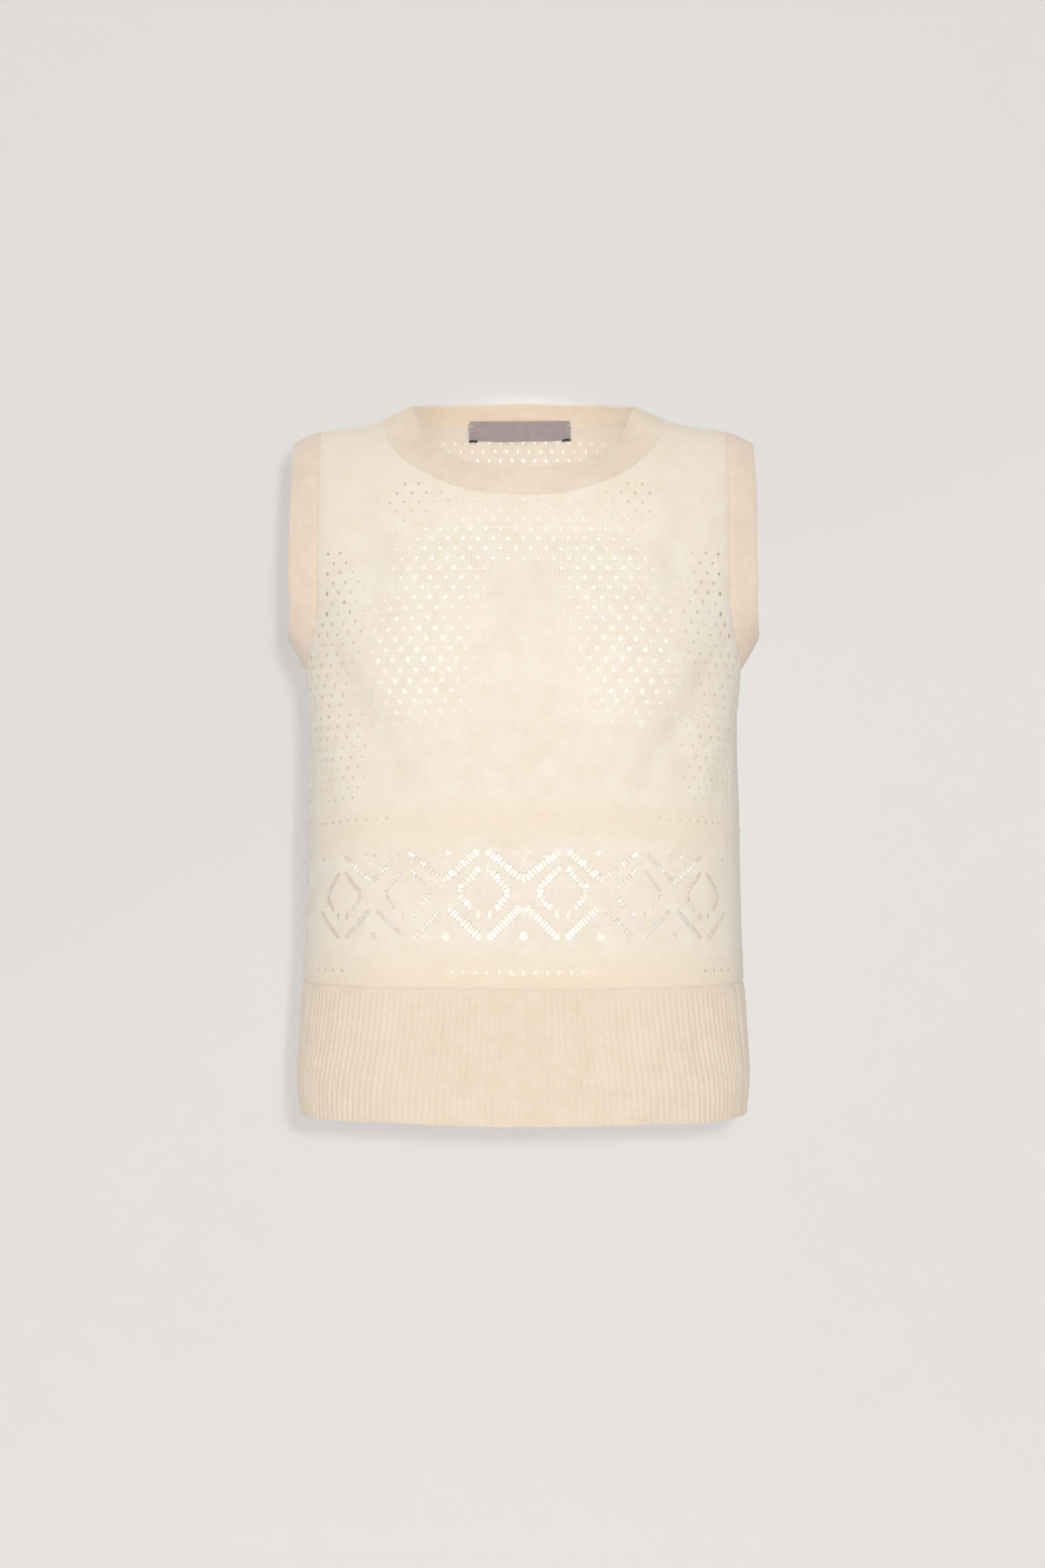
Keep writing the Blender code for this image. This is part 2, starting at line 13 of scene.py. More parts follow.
import bpy
import numpy as np
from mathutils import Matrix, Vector

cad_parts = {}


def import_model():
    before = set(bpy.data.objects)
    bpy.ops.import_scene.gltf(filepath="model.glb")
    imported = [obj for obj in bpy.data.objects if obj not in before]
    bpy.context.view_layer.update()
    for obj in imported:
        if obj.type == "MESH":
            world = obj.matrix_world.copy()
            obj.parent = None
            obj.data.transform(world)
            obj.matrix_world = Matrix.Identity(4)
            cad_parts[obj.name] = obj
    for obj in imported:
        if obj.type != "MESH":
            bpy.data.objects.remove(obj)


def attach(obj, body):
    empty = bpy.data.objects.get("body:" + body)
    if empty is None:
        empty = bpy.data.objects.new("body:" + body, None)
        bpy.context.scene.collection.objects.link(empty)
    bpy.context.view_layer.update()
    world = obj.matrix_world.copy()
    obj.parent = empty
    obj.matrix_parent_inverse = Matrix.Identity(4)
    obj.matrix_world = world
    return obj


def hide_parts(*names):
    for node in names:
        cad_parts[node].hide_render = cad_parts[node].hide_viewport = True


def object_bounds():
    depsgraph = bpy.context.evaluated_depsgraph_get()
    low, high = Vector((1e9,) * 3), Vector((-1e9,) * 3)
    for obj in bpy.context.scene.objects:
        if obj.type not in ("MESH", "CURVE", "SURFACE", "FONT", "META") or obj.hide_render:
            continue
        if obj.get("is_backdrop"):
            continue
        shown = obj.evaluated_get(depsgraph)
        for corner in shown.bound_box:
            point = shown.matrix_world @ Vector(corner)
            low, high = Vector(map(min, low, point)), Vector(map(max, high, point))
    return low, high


def table_of(columns, *values):
    """A short table with named columns."""
    row = namedtuple("Row", columns)
    return tuple(row(*entries) for entries in values)


# Sizes of the garment
WALL = 0.0016               # thickness of the knitted cloth
BAND_WALL = 0.0020
BAND_CROWN = 0.0006
HEM_LEVEL = -0.557
RIB_TOP = -0.4505
UNDERARM = -0.203
YOKE_LEVEL = -0.100
ROUNDNESS = 2.45            # exponent of the level sections, 2 is an ellipse

SECTIONS = table_of(
    "height half_width front_depth back_depth",
    (-0.557, 0.1782, 0.1085, 0.0985),
    (-0.530, 0.1808, 0.1110, 0.1010),
    (-0.492, 0.1790, 0.1100, 0.0990),
    (-0.452, 0.1769, 0.1085, 0.0965),
    (-0.410, 0.1752, 0.1080, 0.0945),
    (-0.360, 0.1740, 0.1087, 0.0930),
    (-0.311, 0.1728, 0.1110, 0.0932),
    (-0.265, 0.1710, 0.1150, 0.0960),
    (-0.230, 0.1710, 0.1180, 0.1000),
    (-0.203, 0.1730, 0.1165, 0.1032),
    (-0.170, 0.1790, 0.1100, 0.1055),
    (-0.135, 0.1825, 0.0985, 0.1055),
    (-0.100, 0.1840, 0.0855, 0.1040),
    (-0.060, 0.1840, 0.0735, 0.1010),
    (-0.020, 0.1840, 0.0650, 0.0985),
    (0.030, 0.1840, 0.0600, 0.0960),
)

SHOULDER_LINE = table_of(
    "from_centre height",
    (0.000, 0.0220),
    (0.045, 0.0185),
    (0.084, 0.0085),
    (0.106, 0.0007),
    (0.128, -0.0060),
    (0.166, -0.0122),
    (0.190, -0.0235),
)
SHOULDER_ROUNDING = 2.2
FRONT_ROUNDING = 0.100
BACK_ROUNDING = 0.048

SIDE_SEAM = table_of(
    "height forward",
    (-0.557, 0.036),
    (-0.504, 0.043),
    (-0.427, 0.048),
    (-0.325, 0.051),
    (-0.273, 0.046),
    (-0.250, 0.034),
    (-0.225, 0.014),
    (-0.203, 0.000),
)

STITCH_SPREAD = table_of(
    "height wider_at_centre droop_at_side",
    (-0.557, 0.05, 0.000),
    (-0.450, 0.00, 0.000),
    (-0.378, 0.06, 0.007),
    (-0.317, 0.12, 0.009),
    (-0.250, 0.04, 0.0085),
    (-0.203, 0.00, 0.0075),
    (-0.140, 0.00, 0.0055),
)

# Neck and armholes
NECK_HALF_WIDTH = 0.111
NECK_FRONT_DROP = 0.0665
NECK_BACK_RISE = 0.004
ARMHOLE_X = 0.1628
SCOOP_TOP = -0.140
BAND_LEAN = "share degrees width"
NECK_LEAN_FRONT = table_of(
    BAND_LEAN,
    (0.00, 69, 0.0240),
    (0.25, 58, 0.0315),
    (0.50, 47, 0.0325),
    (0.75, 36.7, 0.0270),
    (1.00, 27, 0.0238),
)
NECK_LEAN_BACK = table_of(
    BAND_LEAN,
    (0.0, 69, 0.024),
    (0.5, 55, 0.024),
    (1.0, 47, 0.024),
)
ARM_LEAN = table_of(
    BAND_LEAN,
    (0.00, 25, 0.024),
    (0.30, 19, 0.024),
    (0.53, 20, 0.024),
    (0.70, 33, 0.024),
    (0.85, 53, 0.024),
    (1.00, 68, 0.024),
)
SHOULDER_TO_SCOOP = 8 / 15  # share of an armhole's lean table that belongs to its straight edge

# Knitting
FRONT, BACK = -1, 1
STITCHES = {FRONT: 75, BACK: 92}    # from the centre line to a side seam
WALE = 0.00262              # width of a stitch
LOW_COURSE = 0.002158       # height of a course, below and above the upper single eyelets
HIGH_COURSE = 0.00197
KNIT_START = -0.4514        # level of course 0
COURSES_LOW = 62
COURSES = 262
RIDGE_COURSES = (10, 58)    # purl ridges that frame the openwork band
RIDGE_HEIGHT = 0.0006
START_SINK = 0.0007         # how far the cloth starts below its surface, out from under the rib
START_COURSES = 1.2
EYELET_ROWS = {FRONT: (71, 211), BACK: (71, 219)}   # first and last row of the net of eyelets
EYELET_STEP = 4
SINGLE_ROWS = (6, 62)
SINGLE_STEP = 3.73
DIAMOND_COURSE = 34
DIAMOND_STITCHES = 24

# Eyelets: lower left stitch and course of the block left out, its size, the hole's middle and size in
# millimetres, and its slant in degrees
Hole = namedtuple("Hole", "stitch course stitches courses mid_stitch mid_course wide high slant")
DIAMOND = (                 # counted from the middle of a diamond
    Hole(1, -9, 1, 4, 1.8, -7.2, 2.9, 7.8, -5),
    Hole(-2, -9, 1, 4, -1.8, -7.2, 2.9, 7.8, 5),
)
VALLEY = (                  # counted from the valley between two diamonds
    Hole(-3, 14, 2, 2, -1.7, 14.9, 3.2, 3.2, 0),
    Hole(1, 14, 2, 2, 1.7, 14.9, 3.2, 3.2, 0),
    Hole(-1, 11, 2, 2, 0.0, 12.4, 2.6, 3.8, 0),
    Hole(-1, -17, 2, 4, 0.0, -14.9, 6.2, 7.2, 0),
)
SINGLE_EYELET = (2.7, 3.7)
# Slots of the diamonds in stitches and courses from a diamond's middle, their width in millimetres, and
# how many strands cross each
SLOTS = table_of(
    "path wide strands",
    (((2.0, 14.8), (10.6, 6.4), (12.0, 5.9)), 6.2, 10),
    (((2.0, -15.0), (10.4, -5.4)), 6.2, 10),
    (((1.7, 8.8), (7.0, 2.2), (7.0, -0.6), (4.3, -4.4)), 5.2, 10),
)
STRAND_RADIUS = 0.00034
STRAND_DEPTH = 0.45         # share of the wall above a strand
UNDERCUT = 0.0006           # how much wider a hole is on the inside of the cloth
RIM_SINK = 0.0003           # how far the edge of a hole lies below the cloth
RIM_THINNING = 0.6          # share of the wall that is lost there

# Where the net of eyelets is drawn open: place, reach and how far, on both sides of the centre line.
# Elsewhere on the front it is closed up.
PATCHES = table_of(
    "panel x z reach_x reach_z open",
    (FRONT, 0.088, -0.198, 0.048, 0.047, 1.00),
    (FRONT, 0.066, -0.146, 0.037, 0.044, 0.72),
    (FRONT, 0.000, -0.083, 0.100, 0.041, 0.70),
    (FRONT, 0.164, -0.212, 0.040, 0.098, 0.95),
    (FRONT, 0.150, -0.320, 0.052, 0.014, 0.65),
    (FRONT, 0.000, -0.378, 0.052, 0.050, 1.00),
    (FRONT, 0.160, -0.378, 0.040, 0.060, 0.35),
    (FRONT, 0.000, -0.438, 0.072, 0.014, 0.45),
    (FRONT, 0.168, -0.438, 0.034, 0.014, 0.60),
    (BACK, 0.000, -0.250, 9.000, 0.190, 0.70),
    (BACK, 0.000, -0.040, 9.000, 0.070, 0.42),
)
SLOT_CLOSED = 0.46          # share of its width that a slot keeps where the patches don't open it
SLOT_REACH = 0.00176        # cells with their middle nearer than this to a slot's line are left out
SLOT_TO_SEAM = 4            # stitches kept between a slot and the side seam
STRAND_OVERLAP = 0.0006     # how far a strand runs on under the cloth beside its slot
LEAST_OPEN = 0.22           # eyelets less open than this are left out
LEAST_OPEN_SINGLE = 0.25
PHASE = {FRONT: 0, BACK: 12}    # stitches by which the diamonds are shifted
EYELET_CLOSED = (1.7, 2.1)  # width and height in millimetres of an eyelet as it closes and fully open
EYELET_OPEN = (3.3, 4.8)

# Soft folds worked into the body: middle, half lengths, direction and depth (outward is positive)
FOLDS = table_of(
    "panel x z half_length half_width degrees depth",
    (FRONT, 0.128, -0.235, 0.070, 0.012, 62, -0.0030),
    (FRONT, 0.150, -0.262, 0.060, 0.011, 70, 0.0024),
    (FRONT, -0.130, -0.228, 0.075, 0.013, -60, -0.0032),
    (FRONT, -0.152, -0.258, 0.060, 0.011, -72, 0.0022),
    (FRONT, 0.080, -0.185, 0.075, 0.045, 90, 0.0050),
    (FRONT, -0.080, -0.185, 0.075, 0.045, 90, 0.0050),
    (FRONT, 0.118, -0.120, 0.060, 0.014, 80, -0.0020),
    (FRONT, -0.120, -0.115, 0.065, 0.014, -78, -0.0022),
    (FRONT, 0.040, -0.420, 0.090, 0.022, 86, -0.0016),
    (FRONT, -0.062, -0.440, 0.080, 0.020, -84, -0.0016),
    (BACK, 0.120, -0.220, 0.080, 0.014, 64, -0.0034),
    (BACK, -0.124, -0.230, 0.080, 0.014, -62, -0.0032),
    (BACK, 0.050, -0.330, 0.100, 0.018, 80, -0.0030),
    (BACK, -0.046, -0.345, 0.110, 0.018, -84, -0.0032),
    (BACK, 0.008, -0.310, 0.090, 0.020, 88, 0.0026),
    (BACK, 0.100, -0.400, 0.080, 0.016, 84, 0.0020),
    (BACK, -0.104, -0.390, 0.080, 0.016, -82, 0.0020),
)

# Slow unevenness of the cloth
WAVES = 14
WAVE_TURNS = (38, 38, 26)   # radians a metre sideways, forward and upward
WAVE_HEIGHT = 0.0008
STILL_LEVEL = -0.03         # folds and waves fade out up to this level
FADE_HEIGHT = 0.08

# Ribs
RIB_HEIGHT = 0.00085
RIB_COLUMNS = 6             # mesh columns a rib
HEM_ROWS = 54
HEM_UNDER_BODY = 0.0012
HEM_REACH = 0.19            # from the centre line to a side seam, along the hem
HEM_WAVER = 0.00025         # unevenness of the lower edge
HEM_SINK = 0.0003           # how far the rib lies below the body
BAND_RIB_PITCH = 0.0034
BAND_RIB_HEIGHT = 0.00032
BAND_ROUND_FROM = 0.93      # share of a band's width from which its edge is rounded off
BAND_ROUND_SHARE = 0.07
SEAM_DITCH = 0.0007         # how far the cloth sinks where two pieces are joined
DITCH_WIDTH = 0.0022

# Label
LABEL_WIDTH = 0.085
LABEL_OFF_CENTRE = -0.003
LABEL_ON_BAND = 0.0060
LABEL_DROP = 0.0098
LABEL_WALL = 0.0005
LABEL_THREAD = 0.0003       # radii of its threads
LABEL_TAIL = 0.0010

# Wools of the pieces: colours from 0 to 255, depth of the stitches and how strongly shade is painted into the
# grooves between them
# The third colour is a warmer tone near the ribs and the upper single eyelets, and painted shade that darkens
# the yoke towards the shoulders
WOOLS = table_of(
    "name tint shade warm stitch_depth groove_depth",
    ("body_wool", (235, 227, 213), (231, 220, 203), (233, 219, 198), 0.0005, 0.16),
    # The back's wool is the body's wool painted a little darker and cooler: painted shade for the shaded
    # sides and the inside seen through the eyelets
    ("back_wool", (231, 224, 212), (227, 217, 203), (229, 217, 200), 0.0005, 0.16),
    ("rib_wool", (232, 218, 199), (227, 211, 190), None, 0.0005, 0.20),
    ("band_wool", (232, 216, 198), (226, 208, 189), None, 0.0004, 0.20),
    ("collar_wool", (235, 221, 201), (229, 212, 190), None, 0.0004, 0.20),
)

# Stage
WALL_Y = 2.7
FLOOR_LEVEL = -1.95
PAPER = (0.843, 0.819, 0.795)
WORLD = ((0.98, 0.985, 1.0, 1.0), 0.575)    # colour and strength
SOFTBOXES = table_of(
    "name place target size power",
    ("front_softbox", (-0.05, -2.6, 0.1), (0, 0, -0.30), (1.8, 1.8), 31),
    ("top_softbox", (0.0, -0.4, 2.2), (0, 0, -0.3), (2.4, 2.4), 6),
    ("back_softbox", (-0.6, 1.9, 0.9), (0, 0, -0.28), (1.6, 1.2), 20),
)
# Weak lamps in the hollow, which light the inside of the back as light through the cloth does
INSIDE_LAMPS = table_of(
    "name place aim size spread power",
    ("inside_fill", (0.0, 0.0, -0.320), (0, 1, 0), (0.20, 0.42), 180, 0.33),
    ("inside_yoke_left", (0.080, -0.03, -0.100), (0, 1, 0), (0.10, 0.06), 54, 0.017),
    ("inside_yoke", (0.0, -0.02, -0.092), (0, 1, 0), (0.10, 0.03), 50, 0.011),
    ("inside_side_left", (0.150, 0.0, -0.215), (0.1, 1, 0), (0.02, 0.16), 90, 0.002),
    ("inside_side_right", (-0.150, 0.0, -0.215), (-0.1, 1, 0), (0.02, 0.16), 90, 0.002),
    ("inside_yoke_right", (-0.080, -0.03, -0.100), (0, 1, 0), (0.10, 0.06), 54, 0.017),
    ("inside_left", (0.084, 0.0, -0.188), (0, 1, 0), (0.07, 0.10), 70, 0.013),
    ("inside_right", (-0.084, 0.0, -0.188), (0, 1, 0), (0.07, 0.10), 70, 0.013),
    ("inside_neck", (0.0, -0.045, -0.078), (0, 0.5, 1), (0.22, 0.03), 130, 0.011),
    ("inside_collar_left", (0.055, -0.02, -0.035), (0.6, 0.5, 0.7), (0.03, 0.03), 120, 0.002),
    ("inside_collar_right", (-0.055, -0.02, -0.035), (-0.6, 0.5, 0.7), (0.03, 0.03), 120, 0.002),
    ("inside_waist", (0.0, 0.0, -0.380), (0, 1, 0), (0.10, 0.10), 80, 0.009),
    ("inside_hem", (0.0, 0.0, -0.430), (0, 1, -0.15), (0.15, 0.02), 60, 0.010),
)
INSIDE_COLOUR = (0.97, 1.0, 1.10)
# Spots just behind the vest: half sizes of the bright oval that each throws on the wall
SPOT_Y = 0.35
WALL_SPOTS = table_of(
    "name level half_wide half_high power",
    ("backdrop_spot", -0.15, 0.345, 0.44, 115),
    ("neck_backdrop_spot", 0.245, 0.18, 0.10, 62),
    ("waist_backdrop_spot", -0.45, 0.34, 0.15, 90),
)
SPOT_COLOUR = (1.0, 0.93, 0.82)
CAMERA_LAMP = 6.85          # strength of the lamp beside the lens, which is the same at any distance

# Camera
CAMERA_DISTANCE = 2.45
CAMERA_HEIGHT = -0.280
CAMERA_SHIFT = -20 / 1800    # the photograph is cropped a little off its middle
LENS = 70

# Steps of the surface grid and of the seams
WALE_STEPS = 160
ALONG_STEP = 0.001
CUT_STEPS = 400             # along the seams where the body ends
BAND_STEPS = 300            # along the seams where the bands start
UV_SHIFT = 400              # keeps the stitch coordinates positive


def smooth(table, column, at):
    """Cubic curve through one column of a table, over the table's first column."""
    xs = np.array([row[0] for row in table])
    ys = np.array([getattr(row, column) for row in table])
    slopes = np.gradient(ys, xs)
    i = np.clip(np.searchsorted(xs, at) - 1, 0, len(xs) - 2)
    width = xs[i + 1] - xs[i]
    t = np.clip((at - xs[i]) / width, 0, 1)
    start = (1 + 2 * t) * (1 - t) ** 2 * ys[i] + t * (1 - t) ** 2 * width * slopes[i]
    end = t * t * (3 - 2 * t) * ys[i + 1] + t * t * (t - 1) * width * slopes[i + 1]
    return start + end


def lengths(path):
    """Running length at each point of a path."""
    return np.concatenate([[0.0], np.cumsum(np.linalg.norm(np.diff(path, axis=0), axis=1))])


def depth_of(panel, height):
    return smooth(SECTIONS, "front_depth" if panel == FRONT else "back_depth", height)


def shoulder_curve(panel, below_shoulder):
    reach = FRONT_ROUNDING if panel == FRONT else BACK_ROUNDING
    left = 1 - np.clip(below_shoulder / reach, 0, 1)
    return (1 - left ** SHOULDER_ROUNDING) ** (1 / SHOULDER_ROUNDING)


def half_section(panel, height):
    """x, outward y and running length of a level section, from the panel's centre line round the side."""
    angle = np.linspace(0, math.pi / 2, 60)
    power = 2 / ROUNDNESS
    x = smooth(SECTIONS, "half_width", height) * np.sin(angle) ** power
    near = depth_of(panel, height) * np.cos(angle) ** power
    far = depth_of(-panel, height) * np.cos(angle) ** power
    xs = np.concatenate([x, x[-2::-1]])
    ys = np.concatenate([near, -far[-2::-1]])
    return xs, ys, lengths(np.stack([xs, ys], axis=1))


def length_to_seam(panel, height):
    _, ys, length = half_section(panel, height)
    return np.interp(panel * smooth(SIDE_SEAM, "forward", height), -ys, length)


def length_to_armhole(panel, height):
    xs, _, length = half_section(panel, height)
    quarter = len(xs) // 2 + 1
    return np.interp(ARMHOLE_X, xs[:quarter], length[:quarter])


@functools.lru_cache(maxsize=None)
def armhole_across(panel):
    return float(length_to_armhole(panel, UNDERARM) / length_to_seam(panel, UNDERARM))


@functools.lru_cache(maxsize=None)
def cloth(panel):
    """Half a panel as arrays of along, x, outward y and z, over wales from the centre out and rows upward."""
    shares = np.linspace(0, 1, WALE_STEPS + 1)
    rows = []
    for height in np.linspace(HEM_LEVEL, YOKE_LEVEL, 140):
        xs, ys, length = half_section(panel, height)
        if height <= UNDERARM:
            reach = length_to_seam(panel, height)
        else:
            reach = length_to_armhole(panel, height) / armhole_across(panel)
        spread = smooth(STITCH_SPREAD, "wider_at_centre", height)
        run = reach * shares * (1 + spread * (1 - shares * shares))
        x = np.interp(run, length, xs)
        below = smooth(SHOULDER_LINE, "height", x) - height
        y = np.interp(run, length, ys) * shoulder_curve(panel, below)
        rows.append((np.full_like(x, height), x, y, np.full_like(x, height)))
    top = smooth(SHOULDER_LINE, "height", x)
    for left in (1 - np.linspace(0, 1, 81)[1:]) ** 2:
        height = top - (top - YOKE_LEVEL) * left
        narrowing = 1 - (x / smooth(SECTIONS, "half_width", height)) ** ROUNDNESS
        depth = depth_of(panel, height) * shoulder_curve(panel, top - height)
        y = depth * narrowing ** (1 / ROUNDNESS)
        along = rows[-1][0] + np.hypot(y - rows[-1][2], height - rows[-1][3])
        rows.append((along, x, y, height))
    return np.array(rows).transpose(1, 2, 0)


@functools.lru_cache(maxsize=None)
def surface_grid(panel):
    """Half a panel's points on even steps of across and along, run on a little past the hem and shoulder."""
    table = cloth(panel)
    runs = np.arange(HEM_LEVEL - 0.01, table[0].max() + 0.02, ALONG_STEP)
    grid = np.empty((WALE_STEPS + 1, len(runs), 3))
    for i in range(WALE_STEPS + 1):
        along, points = table[0, i], table[1:, i]
        past = points[:, -1] + (points[:, -1] - points[:, -3]) / (along[-1] - along[-3]) * 0.03
        below = points[:, 0] + (points[:, 0] - points[:, 2]) / (along[2] - along[0]) * 0.02
        path = np.concatenate([[along[0] - 0.02], along, [along[-1] + 0.03]])
        for k in range(3):
            grid[i, :, k] = np.interp(runs, path, np.concatenate([[below[k]], points[k], [past[k]]]))
    return runs[0], grid


def surface(panel, across, along):
    """Points of the outer surface of the cloth, for arrays of across and along."""
    start, grid = surface_grid(panel)
    a = np.clip(np.abs(across), 0, 1) * WALE_STEPS
    b = np.clip((along - start) / ALONG_STEP, 0, grid.shape[1] - 1.001)
    i, j = np.minimum(a.astype(int), WALE_STEPS - 1), b.astype(int)
    s, t = (a - i)[..., None], (b - j)[..., None]
    low = grid[i, j] * (1 - s) + grid[i + 1, j] * s
    high = grid[i, j + 1] * (1 - s) + grid[i + 1, j + 1] * s
    points = low * (1 - t) + high * t
    points[..., 0] *= np.where(across < 0, -1, 1)
    points[..., 1] *= panel
    return points


def unit(vectors):
    return vectors / np.maximum(np.linalg.norm(vectors, axis=-1, keepdims=True), 1e-12)


def surface_normal(panel, across, along):
    """Outward directions of the cloth, from neighbours on both sides."""
    inner = np.clip(across, -0.985, 0.985)
    sideways = surface(panel, inner + 0.014, along) - surface(panel, inner - 0.014, along)
    upward = surface(panel, across, along + 0.0018) - surface(panel, across, along - 0.0018)
    return unit(np.cross(sideways, upward) * -panel)


def surface_frame(panel, across, along):
    """Points, outward directions and the offset of the folds there."""
    points = surface(panel, across, along)
    return points, surface_normal(panel, across, along), settle(panel, points)


def shoulder_along(panel, across):
    tops = cloth(panel)[0, :, -1]
    return np.interp(np.abs(across), np.linspace(0, 1, len(tops)), tops)


def across_of_x(panel, x):
    reached = cloth(panel)[1, :, -1]
    return np.sign(x) * np.interp(np.abs(x), reached, np.linspace(0, 1, len(reached)))


def neck_height(panel, x):
    side_height = float(smooth(SHOULDER_LINE, "height", NECK_HALF_WIDTH))
    change = -NECK_FRONT_DROP if panel == FRONT else NECK_BACK_RISE
    return side_height + change * np.sqrt(np.clip(1 - (x / NECK_HALF_WIDTH) ** 2, 0, 1))


def along_of_height(panel, across, height):
    """Along of points given by their height, read from the wales."""
    table = cloth(panel)
    place = np.clip(np.abs(across), 0, 1) * WALE_STEPS
    found = np.empty(len(place))
    for n, (a, z) in enumerate(zip(place, height)):
        i = min(int(a), WALE_STEPS - 1)
        wale = table[:, i] * (1 - a + i) + table[:, i + 1] * (a - i)
        found[n] = np.interp(z, wale[3], wale[0])
    return found


@functools.lru_cache(maxsize=None)
def neck_seam(panel, steps):
    """Across and along of the neck seam from the left shoulder over the middle to the right one."""
    angle = np.linspace(0, math.pi, steps + 1)
    x = NECK_HALF_WIDTH * np.cos(angle)
    across = across_of_x(panel, x)
    along = along_of_height(panel, across, neck_height(panel, x))
    along[[0, -1]] = shoulder_along(panel, across[[0, -1]])
    return across, along


@functools.lru_cache(maxsize=None)
def armhole_seam(panel, steps):
    """Across and along of the left armhole's seam from the shoulder to the underarm."""
    edge = armhole_across(panel)
    share = np.linspace(0, 1, steps + 1)
    top = float(shoulder_along(panel, edge))
    straight = top + (SCOOP_TOP - top) * np.clip(share / SHOULDER_TO_SCOOP, 0, 1)
    angle = np.clip((share - SHOULDER_TO_SCOOP) / (1 - SHOULDER_TO_SCOOP), 0, 1) * math.pi / 2
    across = 1 - (1 - edge) * np.cos(angle)
    return across, straight - (SCOOP_TOP - UNDERARM) * np.sin(angle)


# Meshes


def add_object(name, data):
    made = bpy.data.objects.new(name, data)
    bpy.context.scene.collection.objects.link(made)
    return made


def grid_faces(rows, columns, closed=False):
    """Quads of a grid of points stored row by row; closed joins the last column to the first."""
    index = np.arange(rows * columns).reshape(rows, columns)
    if closed:
        index = np.concatenate([index, index[:, :1]], axis=1)
    return np.stack([index[:-1, :-1], index[:-1, 1:], index[1:, 1:], index[1:, :-1]], axis=-1)


def open_edges(faces):
    """Directed edges that only one face uses."""
    ends = np.concatenate([faces[:, [k, (k + 1) % faces.shape[1]]] for k in range(faces.shape[1])])
    key = np.sort(ends, axis=1)
    key = key[:, 0] * (key.max() + 1) + key[:, 1]
    _, first, count = np.unique(key, return_index=True, return_counts=True)
    return ends[first[count == 1]]


def cloth_mesh(name, outer, inner, faces, uv, material, extra=None):
    """Closed shell from an outer and an inner skin that share their faces, with a rim at every open edge."""
    used = np.unique(faces)
    renumber = np.zeros(len(outer), int)
    renumber[used] = np.arange(len(used))
    faces, outer, inner, uv = renumber[faces], outer[used], inner[used], uv[used]
    count = len(outer)
    edges = open_edges(faces)
    rims = np.stack([edges[:, 1], edges[:, 0], edges[:, 0] + count, edges[:, 1] + count], axis=1)
    quads = np.concatenate([faces, faces[:, ::-1] + count, rims])
    points, uv = np.concatenate([outer, inner]), np.concatenate([uv, uv])
    if extra:
        quads = np.concatenate([quads, extra[1] + len(points)])
        points, uv = np.concatenate([points, extra[0]]), np.concatenate([uv, extra[2]])
    mesh = bpy.data.meshes.new(name)
    mesh.from_pydata(points, [], quads.tolist())
    layer = mesh.uv_layers.new(name="Stitches")
    layer.data.foreach_set("uv", uv[quads.ravel()].astype(np.float32).ravel())
    mesh.polygons.foreach_set("use_smooth", np.ones(len(quads), bool))
    rim_edges = np.sort(np.concatenate([edges, edges + count]), axis=1)
    pairs = np.empty(2 * len(mesh.edges), np.int32)
    mesh.edges.foreach_get("vertices", pairs)
    pairs = np.sort(pairs.reshape(-1, 2), axis=1)
    stride = len(points) + 1
    sharp = np.isin(pairs @ (stride, 1), rim_edges @ (stride, 1))
    mesh.edges.foreach_set("use_edge_sharp", sharp)
    mesh.materials.append(material)
    made = add_object(name, mesh)
    made["cloth_area"] = float(skin_area(outer, faces))
    return made


def grid_cloth(name, outer, inner, u, v, material, flip=False, closed=False):
    """Cloth of a whole grid of points, from stitch coordinates u by column and v by row."""
    u, v = np.broadcast_arrays(u, v)
    faces = grid_faces(*u.shape, closed).reshape(-1, 4)
    if flip:
        faces = faces[:, ::-1]
    return cloth_mesh(name, outer, inner, faces, np.stack([u.ravel(), v.ravel()], axis=1), material)


def skin_area(points, quads):
    a, b, c, d = (points[quads[:, k]] for k in range(4))
    return np.linalg.norm(np.cross(c - a, d - b), axis=1).sum() / 2


def level_of(across, course):
    """Along of a course, which droops towards the side seams."""
    low = np.minimum(course, COURSES_LOW) * LOW_COURSE
    level = KNIT_START + low + np.maximum(course - COURSES_LOW, 0) * HIGH_COURSE
    return level - smooth(STITCH_SPREAD, "droop_at_side", level) * np.abs(across) ** 2.2


def openness(panel, stitch, course):
    """How far an eyelet of the net is drawn open, 0 to 1."""
    across = np.array([stitch / STITCHES[panel]])
    x, _, z = surface(panel, across, level_of(across, np.array([float(course)])))[0]
    return max(patch.open * math.exp(-((abs(x) - patch.x) / patch.reach_x) ** 4
                                     - ((z - patch.z) / patch.reach_z) ** 4)
               for patch in PATCHES if patch.panel == panel)


